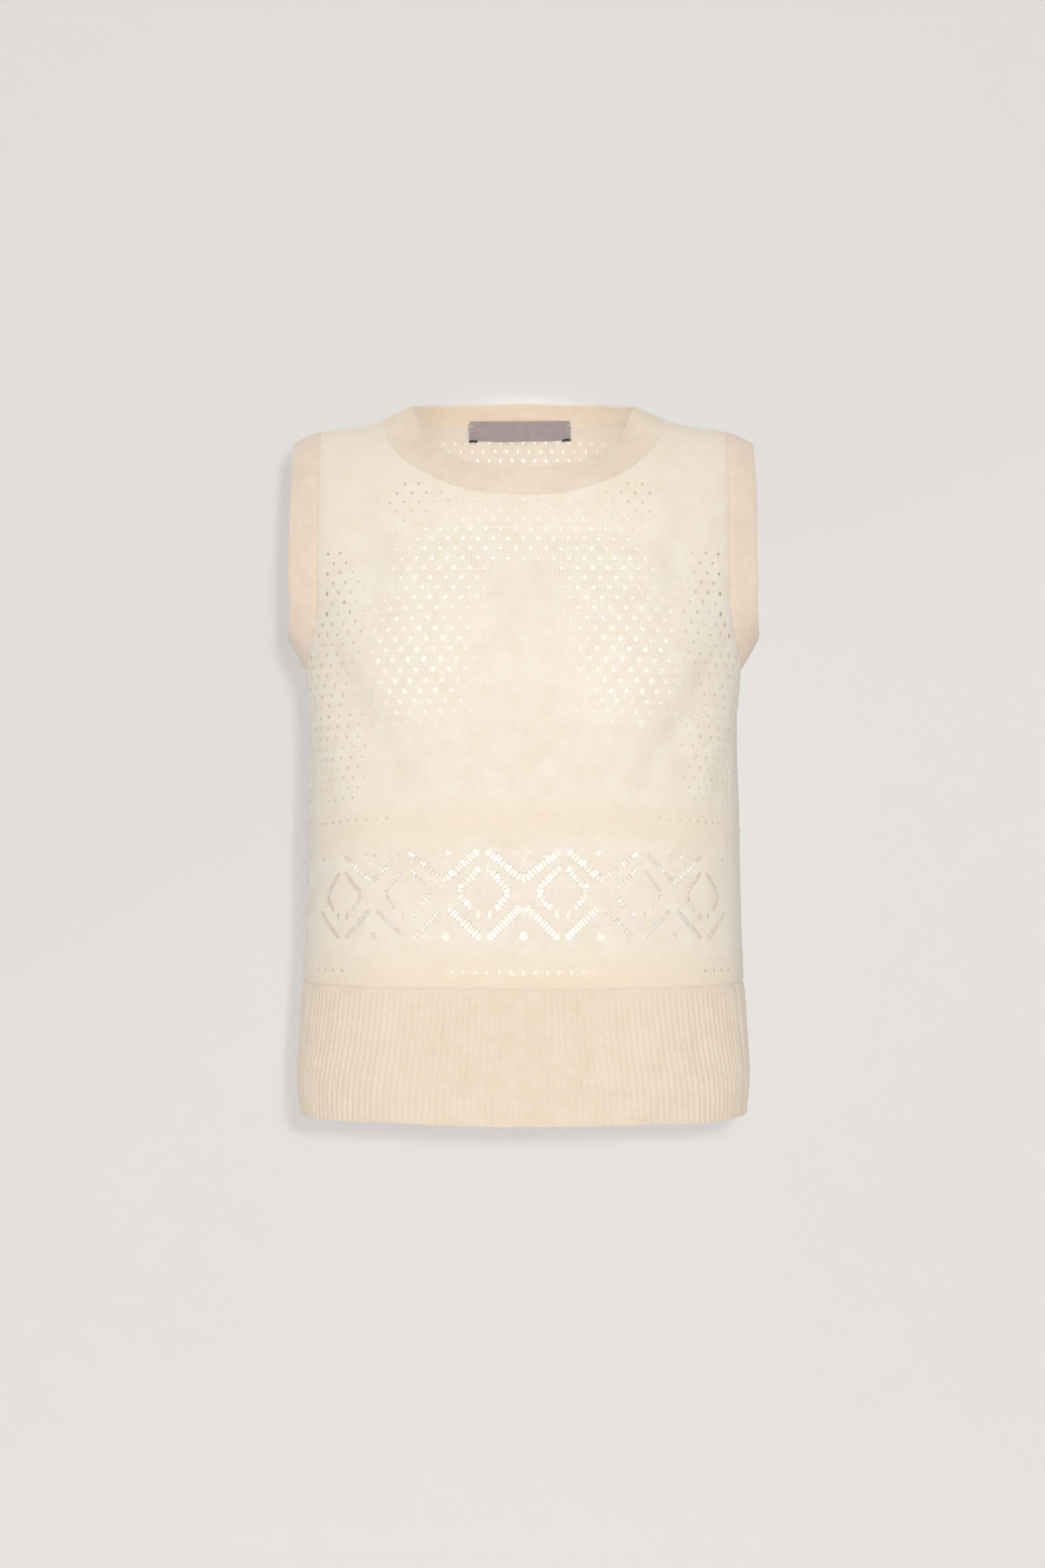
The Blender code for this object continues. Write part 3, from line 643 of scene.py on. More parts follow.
def eyelets(panel):
    """Every round hole of a panel, in stitches from its centre line and courses from the rib."""
    half = STITCHES[panel]
    holes = []
    first, last = EYELET_ROWS[panel]
    random = np.random.default_rng(11 + panel)
    for row, course in enumerate(range(first, last + 1, EYELET_STEP)):
        start = -half // 4 * 4 + (0 if row % 2 else 2)
        for stitch in range(start, half, 4):
            share = openness(panel, stitch, course) * random.uniform(0.86, 1.1)
            if share < LEAST_OPEN:
                continue
            wide, high = (a + (b - a) * share for a, b in zip(EYELET_CLOSED, EYELET_OPEN))
            if panel == FRONT:      # drawn long by the sideways pull at the armholes
                wide *= 1 - 0.30 * np.clip((abs(stitch) / half - 0.68) / 0.16, 0, 1)
            slant = random.uniform(-16, 16)
            holes.append(Hole(stitch - 1, course - 1, 2, 2, stitch, course, wide, high, slant))
    for course in SINGLE_ROWS:
        reach = int(half / SINGLE_STEP)
        for k in range(-reach, reach + 1):
            middle = k * SINGLE_STEP
            if openness(panel, middle, course) > LEAST_OPEN_SINGLE:
                holes.append(Hole(round(middle) - 1, course - 1, 2, 2, middle, course, *SINGLE_EYELET, 0))
    repeats = half // DIAMOND_STITCHES + 1
    for repeat in range(-repeats, repeats + 1):
        valley = repeat * DIAMOND_STITCHES + PHASE[panel]
        for table, middle in ((VALLEY, valley), (DIAMOND, valley + DIAMOND_STITCHES // 2)):
            holes += [hole._replace(stitch=hole.stitch + middle, course=hole.course + DIAMOND_COURSE,
                                    mid_stitch=hole.mid_stitch + middle,
                                    mid_course=hole.mid_course + DIAMOND_COURSE) for hole in table]
    return holes


def border_of(cells):
    """Grid points that have some but not all of the cells about them set."""
    padded = np.pad(cells.astype(int), 1)
    around = padded[:-1, :-1] + padded[:-1, 1:] + padded[1:, :-1] + padded[1:, 1:]
    return (around > 0) & (around < 4)


def cut_eyelets(panel, whole, keep, stitch, course, rim):
    """Leaves out each hole's block of cells and rounds the stitches about it."""
    half = STITCHES[panel]
    for hole in eyelets(panel):
        left, bottom = hole.stitch + half, hole.course
        right, top = left + hole.stitches, bottom + hole.courses
        if left < 3 or right > 2 * half - 3 or not whole[bottom - 2:top + 2, left - 2:right + 2].all():
            continue
        if not keep[bottom - 1:top + 1, left - 1:right + 1].all():
            continue
        keep[bottom:top, left:right] = False
        rows, columns = np.mgrid[bottom:top + 1, left:right + 1]
        around = (rows == bottom) | (rows == top) | (columns == left) | (columns == right)
        rows, columns = rows[around], columns[around]
        course_height = LOW_COURSE if hole.course < COURSES_LOW else HIGH_COURSE
        x = (columns - (left + right) / 2) * WALE
        y = (rows - (bottom + top) / 2) * course_height
        angle = np.arctan2(y, x) - math.radians(hole.slant)
        reach = 0.0005 / np.sqrt((np.cos(angle) / hole.wide) ** 2 + (np.sin(angle) / hole.high) ** 2)
        for skin, more in enumerate((0.0, UNDERCUT)):
            share = (reach + more) / np.hypot(x, y)
            stitch[skin, rows, columns] = hole.mid_stitch + x * share / WALE
            course[skin, rows, columns] = hole.mid_course + y * share / course_height
        rim[rows, columns] = 1


def slot_paths(panel):
    """Every diamond slot that fits in a panel: its line in metres on the flat, half width and strands."""
    half = STITCHES[panel]
    repeats = half // DIAMOND_STITCHES + 1
    for repeat in range(-repeats, repeats):
        centre = (repeat + 0.5) * DIAMOND_STITCHES + PHASE[panel]
        drawn = openness(panel, np.clip(centre, -half, half), DIAMOND_COURSE)
        share = SLOT_CLOSED + (1 - SLOT_CLOSED) * drawn
        for slot in SLOTS:
            for side in (-1, 1):
                path = np.array([(centre + side * a, DIAMOND_COURSE + b) for a, b in slot.path])
                if np.abs(path[:, 0]).max() < half - SLOT_TO_SEAM:
                    yield path * (WALE, LOW_COURSE), slot.wide / 2000 * share, slot.strands


def nearest_on_slots(segments, x, y):
    """Clearance of points from the slots, with the nearest point on a slot's line and its half width.

    A segment is a straight stretch of a slot: both ends and half width.
    """
    start, run = segments[:, :2], segments[:, 2:4] - segments[:, :2]
    away = np.stack([x, y], axis=-1)[:, None] - start
    t = np.clip((away * run).sum(-1) / (run * run).sum(-1), 0, 1)
    feet = start + t[..., None] * run
    gap = np.hypot(x[:, None] - feet[..., 0], y[:, None] - feet[..., 1]) - segments[:, 4]
    best = np.argmin(gap, axis=1)
    rows = np.arange(len(x))
    return gap[rows, best], feet[rows, best], segments[best, 4]


def cut_slots(panel, keep, stitch, course, rim):
    """Leaves out the cells under the diamonds' slots and lays the stitches beside them along the slots."""
    segments = np.array([(*start, *end, wide) for path, wide, _ in slot_paths(panel)
                         for start, end in zip(path[:-1], path[1:])])
    rows, columns = np.nonzero(keep[:2 * DIAMOND_COURSE])
    x = (columns + 0.5 - STITCHES[panel]) * WALE
    y = (rows + 0.5) * LOW_COURSE
    gap, _, wide = nearest_on_slots(segments, x, y)
    out = gap + wide < np.maximum(wide, SLOT_REACH)
    lost = np.zeros_like(keep)
    lost[rows[out], columns[out]] = True
    keep[lost] = False
    rows, columns = np.nonzero(border_of(lost))
    x, y = (columns - STITCHES[panel]) * WALE, rows * LOW_COURSE
    _, feet, wide = nearest_on_slots(segments, x, y)
    push = unit(np.stack([x, y], axis=1) - feet)
    for skin, more in enumerate((0.0, UNDERCUT)):
        placed = feet + push * (wide + more)[:, None]
        stitch[skin, rows, columns] = placed[:, 0] / WALE
        course[skin, rows, columns] = placed[:, 1] / LOW_COURSE
    rim[rows, columns] = 1


def strands(panel):
    """Closed little tubes across the slots, as points, quads and stitch coordinates."""
    sides, rings = 6, 6
    t = np.linspace(0, 1, rings)[:, None]
    angle = np.arange(sides)[:, None] * math.tau / sides
    thick = STRAND_RADIUS * (1 + 0.5 * np.abs(2 * t - 1) ** 3)
    last = (rings - 1) * sides
    caps = [[0, 1, 2, 3], [0, 3, 4, 5],
            [last + 3, last + 2, last + 1, last], [last + 5, last + 4, last + 3, last]]
    quads = np.concatenate([grid_faces(rings, sides, closed=True).reshape(-1, 4)[:, ::-1], caps])
    bow = 0.0002 * np.sin(t[:, 0] * math.pi)
    turns = np.tile(np.arange(sides) / sides, rings) + UV_SHIFT
    random = np.random.default_rng(19 + panel)
    points, faces, uv = [], [], []
    for path, wide, count in slot_paths(panel):
        steps = lengths(path)
        for k in range(count):
            at = steps[-1] * (k + 0.5 + random.uniform(-0.12, 0.12)) / count
            before, point, after = (np.array([np.interp(at + d, steps, path[:, i]) for i in (0, 1)])
                                    for d in (-0.0005, 0, 0.0005))
            reach = unit((after - before)[::-1] * (-1, 1)) * (wide + STRAND_OVERLAP)
            flat = point + reach * (2 * t - 1)
            across, course = flat[:, 0] / WALE / STITCHES[panel], flat[:, 1] / LOW_COURSE
            along = level_of(across, course)
            spine, normal, soft = surface_frame(panel, across, along)
            spine = spine + normal * (soft - WALL * STRAND_DEPTH + bow)[:, None]
            beside = np.cross(unit(np.gradient(spine, axis=0)), normal)
            ring = np.cos(angle) * normal[:, None] + np.sin(angle) * beside[:, None]
            faces.append(quads + rings * sides * len(points))
            points.append((spine[:, None] + ring * thick[:, None]).reshape(-1, 3))
            uv.append(np.stack([turns, np.repeat(course, sides)], axis=1))
    return np.concatenate(points), np.concatenate(faces), np.concatenate(uv)


def top_edge(panel):
    """Dense points of a panel's upper outline: neck, shoulders and armholes, as across and along."""
    neck = neck_seam(panel, CUT_STEPS)
    ridge = np.linspace(neck[0][0], armhole_across(panel), 80)
    sides = np.concatenate([(ridge, shoulder_along(panel, ridge)), armhole_seam(panel, CUT_STEPS)], axis=1)
    return np.concatenate([neck, sides, sides * [[-1], [1]]], axis=1)


def inside_panel(panel, across, along):
    """Whether points lie below the neck, shoulder and armhole edges."""
    away = np.abs(across)
    neck_across, neck_along = (values[::-1] for values in neck_seam(panel, CUT_STEPS))
    arm_across, arm_along = (values[int(CUT_STEPS * SHOULDER_TO_SCOOP) + 1:]
                             for values in armhole_seam(panel, CUT_STEPS))
    limit = np.where(away < neck_across[-1], np.interp(across, neck_across, neck_along),
                     shoulder_along(panel, across))
    return along < np.where(away > armhole_across(panel), np.interp(away, arm_across, arm_along), limit)


def snap_to_edge(panel, keep, across, along):
    """Moves the outermost points of the kept cells onto the panel's outline."""
    border = border_of(keep)
    border[0] = False
    border[:, [0, -1]] = False
    scale = length_to_seam(panel, UNDERARM)
    edge_across, edge_along = top_edge(panel)
    points = np.stack([across[border] * scale, along[border]], axis=1)
    edge = np.stack([edge_across * scale, edge_along], axis=1)
    nearest = np.array([np.argmin(((edge - p) ** 2).sum(1)) for p in points])
    across[border], along[border] = edge_across[nearest], edge_along[nearest]
    for column in (0, -1):
        along[np.flatnonzero(keep[:, column])[-1] + 1, column] = UNDERARM
    return edge, scale


def soft_folds(panel, points):
    """Outward offset of the folds worked into one panel."""
    offset = np.zeros(len(points))
    for fold in FOLDS:
        turn = math.radians(fold.degrees)
        x, z = points[:, 0] - fold.x, points[:, 2] - fold.z
        run = (x * math.cos(turn) + z * math.sin(turn)) / fold.half_length
        cross = (z * math.cos(turn) - x * math.sin(turn)) / fold.half_width
        offset += (fold.panel == panel) * fold.depth * np.exp(-run * run - cross * cross)
    return offset


def undulation(points, seed):
    """Slow unevenness of cloth that hangs, from a few seeded waves."""
    random = np.random.default_rng(seed)
    total = np.zeros(len(points))
    for _ in range(WAVES):
        direction = random.normal(size=3) * WAVE_TURNS
        total += np.sin(points @ direction + random.uniform(0, 6.283)) * random.uniform(0.3, 1)
    return total / 5


def settle(panel, points):
    """Outward offset of the folds and the slow unevenness; it dies out towards the shoulders."""
    fade = np.clip((STILL_LEVEL - points[:, 2]) / FADE_HEIGHT, 0, 1)
    return (soft_folds(panel, points) + WAVE_HEIGHT * undulation(points, 7 + panel)) * fade


def seam_dip(distance):
    return -SEAM_DITCH * np.exp(-(distance / DITCH_WIDTH) ** 2)


def body_knit(name, panel, material):
    """Front or back of the body, stitch by stitch, with its eyelets open."""
    half = STITCHES[panel]
    course, stitch = (g.astype(float) for g in np.mgrid[0:COURSES + 1, -half:half + 1])
    middle_across = (stitch[:-1, :-1] + 0.5) / half
    keep = inside_panel(panel, middle_across, level_of(middle_across, course[:-1, :-1] + 0.5))
    whole = keep.copy()
    rim = np.zeros_like(stitch)
    stitch, course = (np.stack([grid, grid]) for grid in (stitch, course))     # outer and inner skin
    cut_slots(panel, keep, stitch, course, rim)
    cut_eyelets(panel, whole, keep, stitch, course, rim)
    rim = rim.ravel()
    skins = []
    for skin, thickness in enumerate((0.0, WALL)):
        across = stitch[skin] / half
        along = np.maximum(level_of(across, course[skin]), RIB_TOP)
        edge, scale = snap_to_edge(panel, whole, across, along)
        across, along, at = across.ravel(), along.ravel(), course[skin].ravel()
        points, normals, soft = surface_frame(panel, across, along)
        relief = seam_dip(distance_to(edge[CUT_STEPS + 1:], across * scale, along))    # not at the neck
        relief += 0.5 * seam_dip((1 - np.abs(across)) * scale)
        relief -= RIM_SINK * rim + START_SINK * np.exp(-(at / START_COURSES) ** 2)
        relief -= thickness * (1 - RIM_THINNING * rim)
        for ridge in RIDGE_COURSES:
            relief += RIDGE_HEIGHT * np.exp(-((at - ridge) / 0.8) ** 2)
        skins.append(points + normals * (relief + soft)[:, None])
    faces = grid_faces(COURSES + 1, 2 * half + 1)[keep]
    if panel == BACK:
        faces = faces[:, ::-1]
    uv = np.stack([stitch[0].ravel() + UV_SHIFT, course[0].ravel()], axis=1)
    return cloth_mesh(name, *skins, faces, uv, material, strands(panel))


def distance_to(edge, x, y):
    """Distance of each point to the nearest of an edge's points, on the flat."""
    near = np.full(len(x), 1.0)
    for start in range(0, len(edge), 100):
        block = edge[start:start + 100]
        near = np.minimum(near, np.hypot(x[:, None] - block[:, 0], y[:, None] - block[:, 1]).min(1))
    return near


def hem_knit(name, panel, material):
    """Ribbed hem of one panel."""
    ribs = STITCHES[panel] + 1
    phase = np.arange(ribs * RIB_COLUMNS + 1) / RIB_COLUMNS
    level = np.linspace(HEM_LEVEL, RIB_TOP + HEM_UNDER_BODY, HEM_ROWS)[:, None]
    up = (level - HEM_LEVEL) / (RIB_TOP - HEM_LEVEL)
    random = np.random.default_rng(31 + panel)
    sway = np.cumsum(random.normal(size=ribs + 1))
    sway = np.interp(phase, np.arange(ribs + 1), sway - np.linspace(sway[0], sway[-1], ribs + 1))
    strength = np.interp(phase, np.arange(ribs + 1), 1 + 0.12 * random.normal(size=ribs + 1))
    across = np.tile(2 * phase / ribs - 1, HEM_ROWS)
    along = (level + HEM_WAVER * sway * (1 - up) ** 3).ravel()
    rounding = np.sqrt(np.clip(1 - (1 - np.clip(up / 0.012, 0, 1)) ** 2, 0, 1))
    relief = RIB_HEIGHT * (np.abs(np.cos(math.pi * phase)) ** 1.3 * strength) - 0.0008 * (1 - rounding)
    relief = relief * np.clip((1.01 - up) / 0.12, 0.25, 1) - 0.0009 * np.clip((up - 0.97) / 0.02, 0, 1)
    relief = relief.ravel() + seam_dip((1 - np.abs(across)) * HEM_REACH)
    points, normals, soft = surface_frame(panel, across, along)
    outer = points + normals * (relief + soft - HEM_SINK)[:, None]
    inner = outer - normals * (WALL + relief * 0.4)[:, None]
    return grid_cloth(name, outer, inner, phase * 2 + 0.5, (level - HEM_LEVEL) / LOW_COURSE, material,
                      flip=panel == BACK)


def pick(values, places):
    """Values of a closed loop at fractional indices."""
    i = np.floor(places).astype(int)
    t = (places - i).reshape(-1, *[1] * (values.ndim - 1))
    return values[i] * (1 - t) + values[(i + 1) % len(values)] * t


def blur(values, width):
    """Circular moving average."""
    padded = np.concatenate([values[-width:], values, values[:width]])
    summed = np.cumsum(np.concatenate([np.zeros_like(padded[:1]), padded]), axis=0)
    return (summed[2 * width + 1:] - summed[:-2 * width - 1]) / (2 * width + 1)


def band_knit(name, loop, axis, material, seed, ditch=SEAM_DITCH):
    """Closed band of fine rib that stands off a seam, sunk a little along it."""
    run = lengths(np.concatenate([loop[0], loop[0][:1]]))
    count = round(run[-1] / BAND_RIB_PITCH) * RIB_COLUMNS
    places = np.interp(np.linspace(0, run[-1], count, endpoint=False), run, np.arange(len(run)))
    points, normals, degrees, width = (pick(values, places) for values in loop)
    normals, degrees, width = unit(blur(normals, 12)), blur(degrees, 12), blur(width, 12)
    tangent = unit(blur(np.roll(points, -3, axis=0) - np.roll(points, 3, axis=0), 26))
    points = blur(points, 5)
    inward = unit(np.cross(axis, tangent))
    inward *= np.sign(((points.mean(axis=0) - points) * inward).sum(1))[:, None]
    angle = np.radians(degrees)[:, None]
    lean = axis * np.cos(angle) + inward * np.sin(angle)
    facing = unit(np.cross(tangent, lean))
    facing *= np.sign((facing * normals).sum(1))[:, None]
    random = np.random.default_rng(seed)
    uneven = blur(random.normal(size=count), 5) * 2
    wave = blur(random.normal(size=count), 40) * 5
    phase = np.arange(count) / RIB_COLUMNS
    rib = np.abs(np.cos(math.pi * phase)) ** 1.2 * BAND_RIB_HEIGHT * (1 + 0.3 * uneven)
    steps = np.concatenate([[-0.03], np.linspace(0, BAND_ROUND_FROM, 12), [0.97, 0.99, 1.0]])
    outer, inner = [], []
    for s in steps:
        turned = unit(normals + (facing - normals) * min(1.0, abs(s) * 3))
        edge = math.sqrt(max(0.0, 1 - max(0.0, (s - BAND_ROUND_FROM) / BAND_ROUND_SHARE) ** 2))
        crown = BAND_CROWN * 4 * s * (1 - s) + rib * edge
        base = points + lean * (s * (width + 0.0003 * wave))[:, None]
        thinner = BAND_WALL - BAND_WALL * (0.35 + 0.65 * edge)
        outer.append(base + turned * (crown - ditch * math.exp(-(s * 20) ** 2) - thinner / 2)[:, None])
        inner.append(base + turned * (crown * 0.6 - BAND_WALL + thinner / 2)[:, None])
    outer, inner = np.concatenate(outer), np.concatenate(inner)
    turn = np.cross(outer[1] - outer[0], outer[count] - outer[0])
    return grid_cloth(name, outer, inner, phase * 2 + 0.5, np.outer(steps, width / LOW_COURSE), material,
                      flip=np.dot(turn, normals[0]) < 0, closed=True)


def seam_loop(seam, leans, share, side=1):
    """Closed loop round a seam, over the front and back again: points, normals, lean angles, band widths."""
    parts = []
    for panel, lean, order in ((FRONT, leans[0], slice(None, -1)), (BACK, leans[1], slice(None, 0, -1))):
        across, along = (values[order] for values in seam(panel, BAND_STEPS))
        points, normals, soft = surface_frame(panel, side * across, along)
        parts.append((points + normals * soft[:, None], normals,
                      smooth(lean, "degrees", share[order]), smooth(lean, "width", share[order])))
    return tuple(np.concatenate(column) for column in zip(*parts))


def label_frames():
    """Points and outward normals under the label, row by row from its top on the neckband down."""
    columns = np.linspace(-0.5, 0.5, 61) * LABEL_WIDTH + LABEL_OFF_CENTRE
    across = across_of_x(BACK, columns)
    along = along_of_height(BACK, across, neck_height(BACK, columns))
    seam, normal, _ = surface_frame(BACK, across, along)
    tangent = unit(np.gradient(seam, axis=0))
    inward = unit(np.cross((0, 0, 1), tangent))
    inward *= np.where(inward[:, 1:2] > 0, -1, 1)
    angle = math.radians(NECK_LEAN_BACK[-1].degrees)
    lean = np.array((0, 0, math.cos(angle))) + inward * math.sin(angle)
    facing = unit(np.cross(tangent, lean))
    facing *= np.where(facing[:, 1:2] < 0, -1, 1)
    frames = [(seam + lean * up, unit(facing + normal * (1 - up / LABEL_ON_BAND)))
              for up in np.linspace(LABEL_ON_BAND, 0.0008, 6)]
    for down in np.linspace(0.0010, LABEL_DROP, 9):
        along = along_of_height(BACK, across, neck_height(BACK, columns) - down)
        frames.append(surface_frame(BACK, across, along)[:2])
    return columns, frames


def neck_label(material):
    """Blank satin label, slack between its sewn ends so that its lower edge waves a little."""
    columns, frames = label_frames()
    t = (columns - LABEL_OFF_CENTRE) / LABEL_WIDTH * 2
    outer = []
    for row, (point, normal) in enumerate(frames):
        v = row / (len(frames) - 1)
        slack = (1 - t * t) * (0.0007 + 0.0012 * v * (1 + 0.5 * np.sin(5.0 * t + 1.0)))
        sway = np.stack([0 * t, 0 * t, 0.0006 * t + 0.0004 * v * np.sin(6.5 * t + 0.9)], axis=1)
        outer.append(point - normal * (BAND_WALL + 0.0004 + slack)[:, None] + sway)
    outer = np.concatenate(outer)
    down = unit(np.concatenate([frames[-1][1]] * len(frames)))
    inner = outer - down * LABEL_WALL
    rows = np.arange(len(frames))[:, None]
    made = grid_cloth("label_satin_tape", outer, inner, columns * 1000, rows * 1.1, material)
    return made, outer.reshape(len(frames), len(columns), 3)


def thread(name, paths, radius, colour_name, colour):
    """Short lengths of sewing thread as one curve object; the colour goes from 0 to 255."""
    data = bpy.data.curves.new(name, "CURVE")
    data.dimensions = "3D"
    data.bevel_depth = radius
    data.bevel_resolution = 2
    darker = linear(*(part * 0.8 for part in colour))
    data.materials.append(mottled_material(colour_name, linear(*colour), darker, 2500.0, 0.6))
    for path in paths:
        spline = data.splines.new("POLY")
        spline.points.add(len(path) - 1)
        for spot, point in zip(spline.points, path):
            spot.co = (*point, 1)
    return add_object(name, data)


def label_threads(spots):
    """Pale stitches at both ends of the label and black thread tails at its lower corners."""
    ends, tails = [], []
    for way, column in ((-1, 0), (1, -1)):
        for row, past in ((4, 0.0012), (5, 0.0002), (7, 0.0008)):
            start, end = spots[row, column], spots[row, column - 2 * way]
            ends.append([start + (past * way, 0.0003, 0), start + (0, -0.0005, 0.0001),
                         end + (0, -0.0005, -0.0001), end + (-0.0004 * way, 0.0004, 0)])
        tails.append([spots[-1, column - k * way] + (0, -0.0007, -0.0004 - 0.0005 * (k % 3 == 1))
                      for k in range(6)])
    return (thread("label_end_stitches", ends, LABEL_THREAD, "pale_thread", (236, 227, 218)),
            thread("label_thread_tails", tails, LABEL_TAIL, "black_thread", (38, 34, 36)))


# Materials


class Nodes:
    """Small helper that adds nodes to one material."""

    def __init__(self, name):
        self.material = bpy.data.materials.new(name)
        self.material.use_nodes = True
        self.tree = self.material.node_tree
        self.shader = self.tree.nodes["Principled BSDF"]

    def fill(self, node, inputs):
        for socket, value in inputs.items():
            if isinstance(value, bpy.types.NodeSocket):
                self.tree.links.new(value, node.inputs[socket])
            else:
                node.inputs[socket].default_value = value
        return node

    def add(self, kind, inputs, **settings):
        node = self.tree.nodes.new(kind)
        for key, value in settings.items():
            setattr(node, key, value)
        return self.fill(node, inputs)

    def finish(self, inputs):
        """Sets the shader's inputs and gives the material."""
        self.fill(self.shader, inputs)
        return self.material

    def places(self):
        """Stitch coordinates u and v, and the place on the object."""
        place = self.add("ShaderNodeTexCoord", {}).outputs
        split = self.add("ShaderNodeSeparateXYZ", {0: place["UV"]}).outputs
        return split[0], split[1], place["Object"]

    def math(self, operation, *values):
        return self.add("ShaderNodeMath", dict(enumerate(values)), operation=operation).outputs[0]

    def mix(self, share, a, b):
        return self.add("ShaderNodeMix", {0: share, 6: a, 7: b}, data_type="RGBA").outputs[2]

    def noise(self, vector, scale, detail=2.0, roughness=0.5):
        return self.add("ShaderNodeTexNoise", {"Vector": vector, "Scale": scale, "Detail": detail,
                                               "Roughness": roughness}).outputs["Fac"]

    def ramp(self, value, low, high, top=1.0):
        return self.add("ShaderNodeMapRange", {0: value, 1: low, 2: high, 4: top}).outputs[0]


def linear(red, green, blue):
    """Screen colour, 0 to 255, as a linear colour with alpha."""
    def one(value):
        value /= 255
        return value / 12.92 if value <= 0.04045 else ((value + 0.055) / 1.055) ** 2.4
    return (one(red), one(green), one(blue), 1.0)


def toned(colour, factor):
    """A linear colour made lighter or darker."""
    return tuple(min(1.0, part * factor) for part in colour[:3]) + (1.0,)


def knit_material(name, tint, shade, warm_tone_and_painted_shade, stitch_depth, groove_shade_amount):
    """Fine heathered wool: stitches from the UVs, flecks and mottling from noise, fibre fuzz in the bump,
    painted shade in the grooves.
    """
    tint, shade = linear(*tint), linear(*shade)
    n = Nodes(name)
    u, v, place = n.places()
    away = n.math("PINGPONG", u, 0.5)
    leg = n.math("MULTIPLY", n.math("ABSOLUTE", n.math("SUBTRACT", away, 0.25)), 4.0)
    strand = n.math("SUBTRACT", 1.0, n.math("MULTIPLY", leg, leg))
    phase = n.math("MULTIPLY", n.math("ADD", v, away), 2 * math.pi)
    loop = n.math("MULTIPLY_ADD", n.math("COSINE", phase), 0.28, 0.72)
    stitch = n.math("MULTIPLY", strand, loop)
    fine = n.noise(place, 1500.0, 3.0, 0.6)
    fleck = n.noise(place, 420.0, 4.0, 0.65)
    mottle = n.noise(place, 55.0, 3.0, 0.6)
    height = n.math("MULTIPLY_ADD", fine, 0.35, stitch)
    bump = n.add("ShaderNodeBump", {"Strength": 0.55, "Distance": stitch_depth, "Height": height})
    colour = n.mix(n.ramp(mottle, 0.35, 0.68), tint, shade)
    if warm_tone_and_painted_shade:                # warmer tone near the ribs and at the upper single eyelets; painted shade towards the shoulders
        low = n.ramp(v, 17.0, 3.0)
        waist = n.ramp(n.math("ABSOLUTE", n.math("SUBTRACT", v, 60.0)), 10.0, 2.0, 0.6)
        # painted shade: the yoke turns darker and warmer towards the shoulders
        yoke = n.ramp(v, 165.0, 215.0, 0.5)
        colour = n.mix(n.math("MAXIMUM", n.math("MAXIMUM", low, waist), yoke), colour, linear(*warm_tone_and_painted_shade))
    colour = n.mix(n.ramp(fleck, 0.60, 0.78, 0.55), colour, toned(tint, 1.09))
    colour = n.mix(n.ramp(fleck, 0.40, 0.27, 0.38), colour, toned(shade, 0.80))
    # painted shade: the colour darkens in the grooves between the stitches
    painted_groove_shade = n.math("MULTIPLY", n.math("SUBTRACT", 1.0, stitch), groove_shade_amount)
    return n.finish({
        "Base Color": n.mix(painted_groove_shade, colour, toned(shade, 0.62)), "Normal": bump.outputs[0],
        "Roughness": 0.92, "Specular IOR Level": 0.25,
        "Subsurface Weight": 0.45, "Subsurface Radius": (1.0, 0.95, 0.9), "Subsurface Scale": 0.0016,
        "Sheen Weight": 0.25, "Sheen Roughness": 0.45, "Sheen Tint": (1.0, 0.96, 0.90, 1.0),
    })


def satin_material():
    """Woven label tape: a fine satin face, faintly cloudy, with a soft sheen."""
    n = Nodes("label_satin_face")
    u, v, place = n.places()
    threads = n.math("SINE", n.math("MULTIPLY", v, 42.0))
    floats = n.math("SINE", n.math("MULTIPLY", u, 26.0))
    weave = n.math("MULTIPLY_ADD", threads, 0.6, n.math("MULTIPLY", floats, 0.4))
    cloudy = n.noise(place, 180.0, 3.0)
    colour = n.mix(n.ramp(cloudy, 0.3, 0.7), linear(154, 143, 145), linear(143, 133, 136))
    bump = n.add("ShaderNodeBump", {"Strength": 0.25, "Distance": 0.0001, "Height": weave})
    return n.finish({"Base Color": colour, "Normal": bump.outputs[0], "Roughness": 0.48, "Sheen Weight": 0.3})


def mottled_material(name, colour, other, scale, roughness):
    """A colour that wavers towards another, for thread and paper."""
    n = Nodes(name)
    waver = n.noise(n.add("ShaderNodeTexCoord", {}).outputs["Object"], scale)
    return n.finish({"Base Color": n.mix(waver, colour, other), "Roughness": roughness})


# Stage


def cyclorama():
    """Pale floor that curves up into a wall well behind the vest."""
    near, top, half, radius, bends = -8.0, 4.0, 7.0, 0.6, 12
    start = WALL_Y - radius
    profile = [(near, FLOOR_LEVEL), (start, FLOOR_LEVEL)]
    for i in range(1, bends + 1):
        angle = math.pi / 2 * i / bends
        profile.append((start + radius * math.sin(angle), FLOOR_LEVEL + radius * (1 - math.cos(angle))))
    profile.append((WALL_Y, top))
    points = [(x, y, z) for x in (-half, half) for y, z in profile]
    count = len(profile)
    mesh = bpy.data.meshes.new("backdrop")
    mesh.from_pydata(points, [], [(i, i + 1, count + i + 1, count + i) for i in range(count - 1)])
    mesh.polygons.foreach_set("use_smooth", np.ones(count - 1, bool))
    mesh.materials.append(mottled_material("backdrop_paper", toned(PAPER, 1), toned(PAPER, 0.995), 3.0, 0.9))
    made = add_object("backdrop", mesh)
    made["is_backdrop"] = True


def add_light(name, kind, place, **settings):
    data = bpy.data.lights.new(name, kind)
    for key, value in settings.items():
        setattr(data, key, value)
    made = add_object(name, data)
    made.location = place
    made.visible_camera = False
    return made


def area_light(lamp, target, colour=(1, 1, 1), spread=math.pi):
    made = add_light(lamp.name, "AREA", lamp.place, shape="RECTANGLE", size=lamp.size[0], size_y=lamp.size[1],
                     energy=lamp.power, color=colour, spread=spread)
    made.rotation_mode = "QUATERNION"
    made.rotation_quaternion = (Vector(target) - Vector(lamp.place)).to_track_quat("-Z", "Y")


